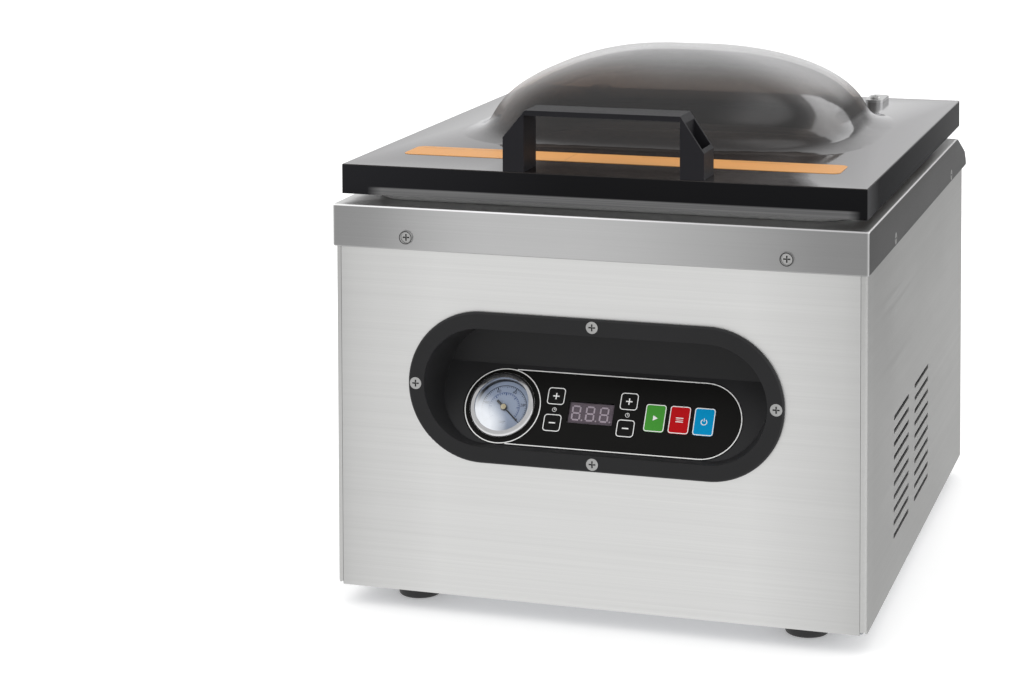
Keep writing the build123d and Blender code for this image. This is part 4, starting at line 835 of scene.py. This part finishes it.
# ------------------------------------------------------------------ floor, light, camera
bpy.ops.mesh.primitive_plane_add(size=14.0, location=(0, 0, 0))
floor = bpy.context.object
floor.name = "floor"
F = Mat("floor_white")
F.surface(F.mixc(F.noise(1.5), (0.92, 0.92, 0.92), (0.95, 0.95, 0.95)), 0.85, 0.0, F.bump(F.noise(60.0), 0.02, 0.0005), spec=0.1)
F.p.inputs["Emission Color"].default_value = (1.0, 1.0, 1.0, 1.0)
F.p.inputs["Emission Strength"].default_value = 0.22
# seen in reflections the floor is an even pale grey, darker towards the flag behind on the right
fg = F.n("ShaderNodeNewGeometry")
fi = F.xyz(fg.outputs["Incoming"])
fx, fy = F.math("MULTIPLY", fi[0], -1.0), F.math("MULTIPLY", fi[1], -1.0)
fflag = F.math("MULTIPLY", F.remap(fx, 0.02, 0.22, 0.0, 1.0), F.remap(fx, 0.55, 0.80, 1.0, 0.0))
fflag = F.math("MULTIPLY", fflag, F.remap(fy, 0.45, 0.75, 0.0, 1.0))
fem = F.n("ShaderNodeEmission")
F.link(F.remap(fflag, 0.0, 1.0, 1.02, 0.35), fem.inputs["Strength"])
flp = F.n("ShaderNodeLightPath")
fmx = F.n("ShaderNodeMixShader")
F.link(flp.outputs["Is Glossy Ray"], fmx.inputs[0])
F.link(F.p.outputs[0], fmx.inputs[1])
F.link(fem.outputs[0], fmx.inputs[2])
F.link(fmx.outputs[0], F.out.inputs["Surface"])
assign([floor], F)

world = bpy.data.worlds.new("studio")
scene.world = world
world.use_nodes = True
wt = world.node_tree
wt.nodes.clear()


def wmath(op, a, b=0.0, c=None):
    m = wt.nodes.new("ShaderNodeMath")
    m.operation = op
    for i, v in enumerate((a, b, c)):
        if v is None:
            continue
        if isinstance(v, bpy.types.NodeSocket):
            wt.links.new(v, m.inputs[i])
        else:
            m.inputs[i].default_value = v
    return m.outputs[0]


def wramp(v, a0, a1, b0, b1):
    r = wt.nodes.new("ShaderNodeMapRange")
    r.interpolation_type = "SMOOTHSTEP"
    wt.links.new(v, r.inputs["Value"])
    for k, x in zip(("From Min", "From Max", "To Min", "To Max"), (a0, a1, b0, b1)):
        r.inputs[k].default_value = x
    return r.outputs["Result"]


# white sweep behind and round the object, darker room overhead and high in front
wtc = wt.nodes.new("ShaderNodeTexCoord")
wsep = wt.nodes.new("ShaderNodeSeparateXYZ")
wt.links.new(wtc.outputs["Generated"], wsep.inputs[0])
wx, wy, wz = wsep.outputs[0:3]
back = wramp(wz, 0.45, 0.90, 1.05, 0.55)
fore = wramp(wz, 0.15, 0.75, 0.98, 0.62)
isback = wramp(wy, -0.35, 0.35, 0.0, 1.0)
glossy = wmath("ADD", wmath("MULTIPLY", back, isback), wmath("MULTIPLY", fore, wmath("SUBTRACT", 1.0, isback)))
# a darker flag behind on the right keeps the right flank a tone below the front
flag = wmath("MULTIPLY", wramp(wx, 0.02, 0.22, 0.0, 1.0), wramp(wx, 0.55, 0.80, 1.0, 0.0))
flag = wmath("MULTIPLY", flag, wramp(wy, 0.45, 0.75, 0.0, 1.0))
flag = wmath("MULTIPLY", flag, wramp(wz, 0.25, 0.50, 1.0, 0.0))
glossy = wmath("MULTIPLY", glossy, wmath("SUBTRACT", 1.0, wmath("MULTIPLY", flag, 0.60)))
wo = wt.nodes.new("ShaderNodeOutputWorld")
bg = wt.nodes.new("ShaderNodeBackground")
bg.inputs["Color"].default_value = (1.0, 1.0, 1.0, 1)
bg.inputs["Strength"].default_value = 1.0
gl_bg = wt.nodes.new("ShaderNodeBackground")
cdir = Vector((0.80, 0.50, 0.30)).normalized()
cdot = wmath("ADD", wmath("ADD", wmath("MULTIPLY", wx, cdir.x), wmath("MULTIPLY", wy, cdir.y)), wmath("MULTIPLY", wz, cdir.z))
sheet = wmath("MULTIPLY", wramp(cdot, 0.73, 0.75, 0.0, 1.0), wramp(wz, 0.58, 0.64, 1.0, 0.0))
sheet = wmath("MULTIPLY", sheet, wramp(wz, 0.0, 0.06, 0.0, 1.0))
glossy = wmath("ADD", glossy, wmath("MULTIPLY", sheet, 1.35))
overhead = wmath("MULTIPLY", wramp(wx, -0.15, 0.20, 0.0, 1.0), wramp(wz, 0.80, 0.93, 0.0, 1.0))
glossy = wmath("ADD", glossy, wmath("MULTIPLY", overhead, 0.6))
gl_bg.inputs["Color"].default_value = (1.0, 1.0, 1.0, 1)
wt.links.new(glossy, gl_bg.inputs["Strength"])
cam_bg = wt.nodes.new("ShaderNodeBackground")
cam_bg.inputs["Color"].default_value = (1.0, 1.0, 1.0, 1)
cam_bg.inputs["Strength"].default_value = 1.05
lp = wt.nodes.new("ShaderNodeLightPath")
mg_ = wt.nodes.new("ShaderNodeMixShader")
wt.links.new(lp.outputs["Is Glossy Ray"], mg_.inputs[0])
wt.links.new(bg.outputs[0], mg_.inputs[1])
wt.links.new(gl_bg.outputs[0], mg_.inputs[2])
mx = wt.nodes.new("ShaderNodeMixShader")
wt.links.new(lp.outputs["Is Camera Ray"], mx.inputs[0])
wt.links.new(mg_.outputs[0], mx.inputs[1])
wt.links.new(cam_bg.outputs[0], mx.inputs[2])
wt.links.new(mx.outputs[0], wo.inputs["Surface"])


def area(name, loc, target, size, energy, color=(1, 1, 1), sy=None):
    l = bpy.data.lights.new(name, "AREA")
    l.shape = "RECTANGLE"
    l.size = size
    l.size_y = sy or size
    l.energy = energy
    l.color = color
    o = bpy.data.objects.new(name, l)
    scene.collection.objects.link(o)
    o.location = loc
    d = Vector(target) - Vector(loc)
    o.rotation_mode = "QUATERNION"
    o.rotation_quaternion = d.to_track_quat("-Z", "Y")
    o.visible_glossy = False
    return o


area("key_softbox", (-1.5, -1.7, 1.9), (0, 0, 0.15), 1.5, 14.0)
area("side_softbox", (2.1, 0.1, 0.9), (0, 0, 0.25), 1.0, 5.0)
area("back_softbox", (0.1, 2.2, 1.9), (0, 0, 0.25), 2.0, 14.0)

scene.view_settings.view_transform = "Standard"
scene.view_settings.look = "None"
scene.view_settings.exposure = 0.0
scene.view_settings.gamma = 1.0

# camera solved for the reference view: the long lens is shifted so uprights stay nearly parallel
yaw, pitch, roll = -0.3053, 0.0526, -0.0034
cyw, syw, cp, sp, cr, sr = math.cos(yaw), math.sin(yaw), math.cos(pitch), math.sin(pitch), math.cos(roll), math.sin(roll)
f = Vector((syw * cp, cyw * cp, -sp))
r = Vector((cyw, -syw, 0.0))
u = r.cross(f)
R = cr * r + sr * u
U = -sr * r + cr * u
BASE = Vector((0.4511, -1.8180, 0.5775))
cd = bpy.data.cameras.new("camera")
cam = bpy.data.objects.new("camera", cd)
scene.collection.objects.link(cam)
scene.camera = cam
cd.sensor_fit = "HORIZONTAL"
cd.sensor_width = 36.0
cd.lens = 2560.42 / 1035.0 * 36.0
cd.clip_start, cd.clip_end = 0.05, 60.0
rot = Matrix(((R.x, U.x, -f.x), (R.y, U.y, -f.y), (R.z, U.z, -f.z)))
cam.rotation_mode = "QUATERNION"
cam.rotation_quaternion = rot.to_quaternion()
cam.location = BASE
SHIFT = -465.28 / 1035.0
cd.shift_y = SHIFT
# the lens shift holds only at the reference position: anywhere else the camera is centred
dr = cd.driver_add("shift_y")
dr.driver.type = "SUM"
v = dr.driver.variables.new()
v.name = "x"
v.type = "TRANSFORMS"
v.targets[0].id = cam
v.targets[0].transform_type = "LOC_X"
v.targets[0].transform_space = "WORLD_SPACE"
while dr.keyframe_points:
    dr.keyframe_points.remove(dr.keyframe_points[0])
while dr.modifiers:
    dr.modifiers.remove(dr.modifiers[0])
for a, b in ((BASE.x - 0.034, 0.0), (BASE.x - 0.014, SHIFT), (BASE.x + 0.014, SHIFT), (BASE.x + 0.034, 0.0)):
    kp = dr.keyframe_points.insert(a, b)
    kp.interpolation = "LINEAR"
dr.extrapolation = "CONSTANT"
dr.update()
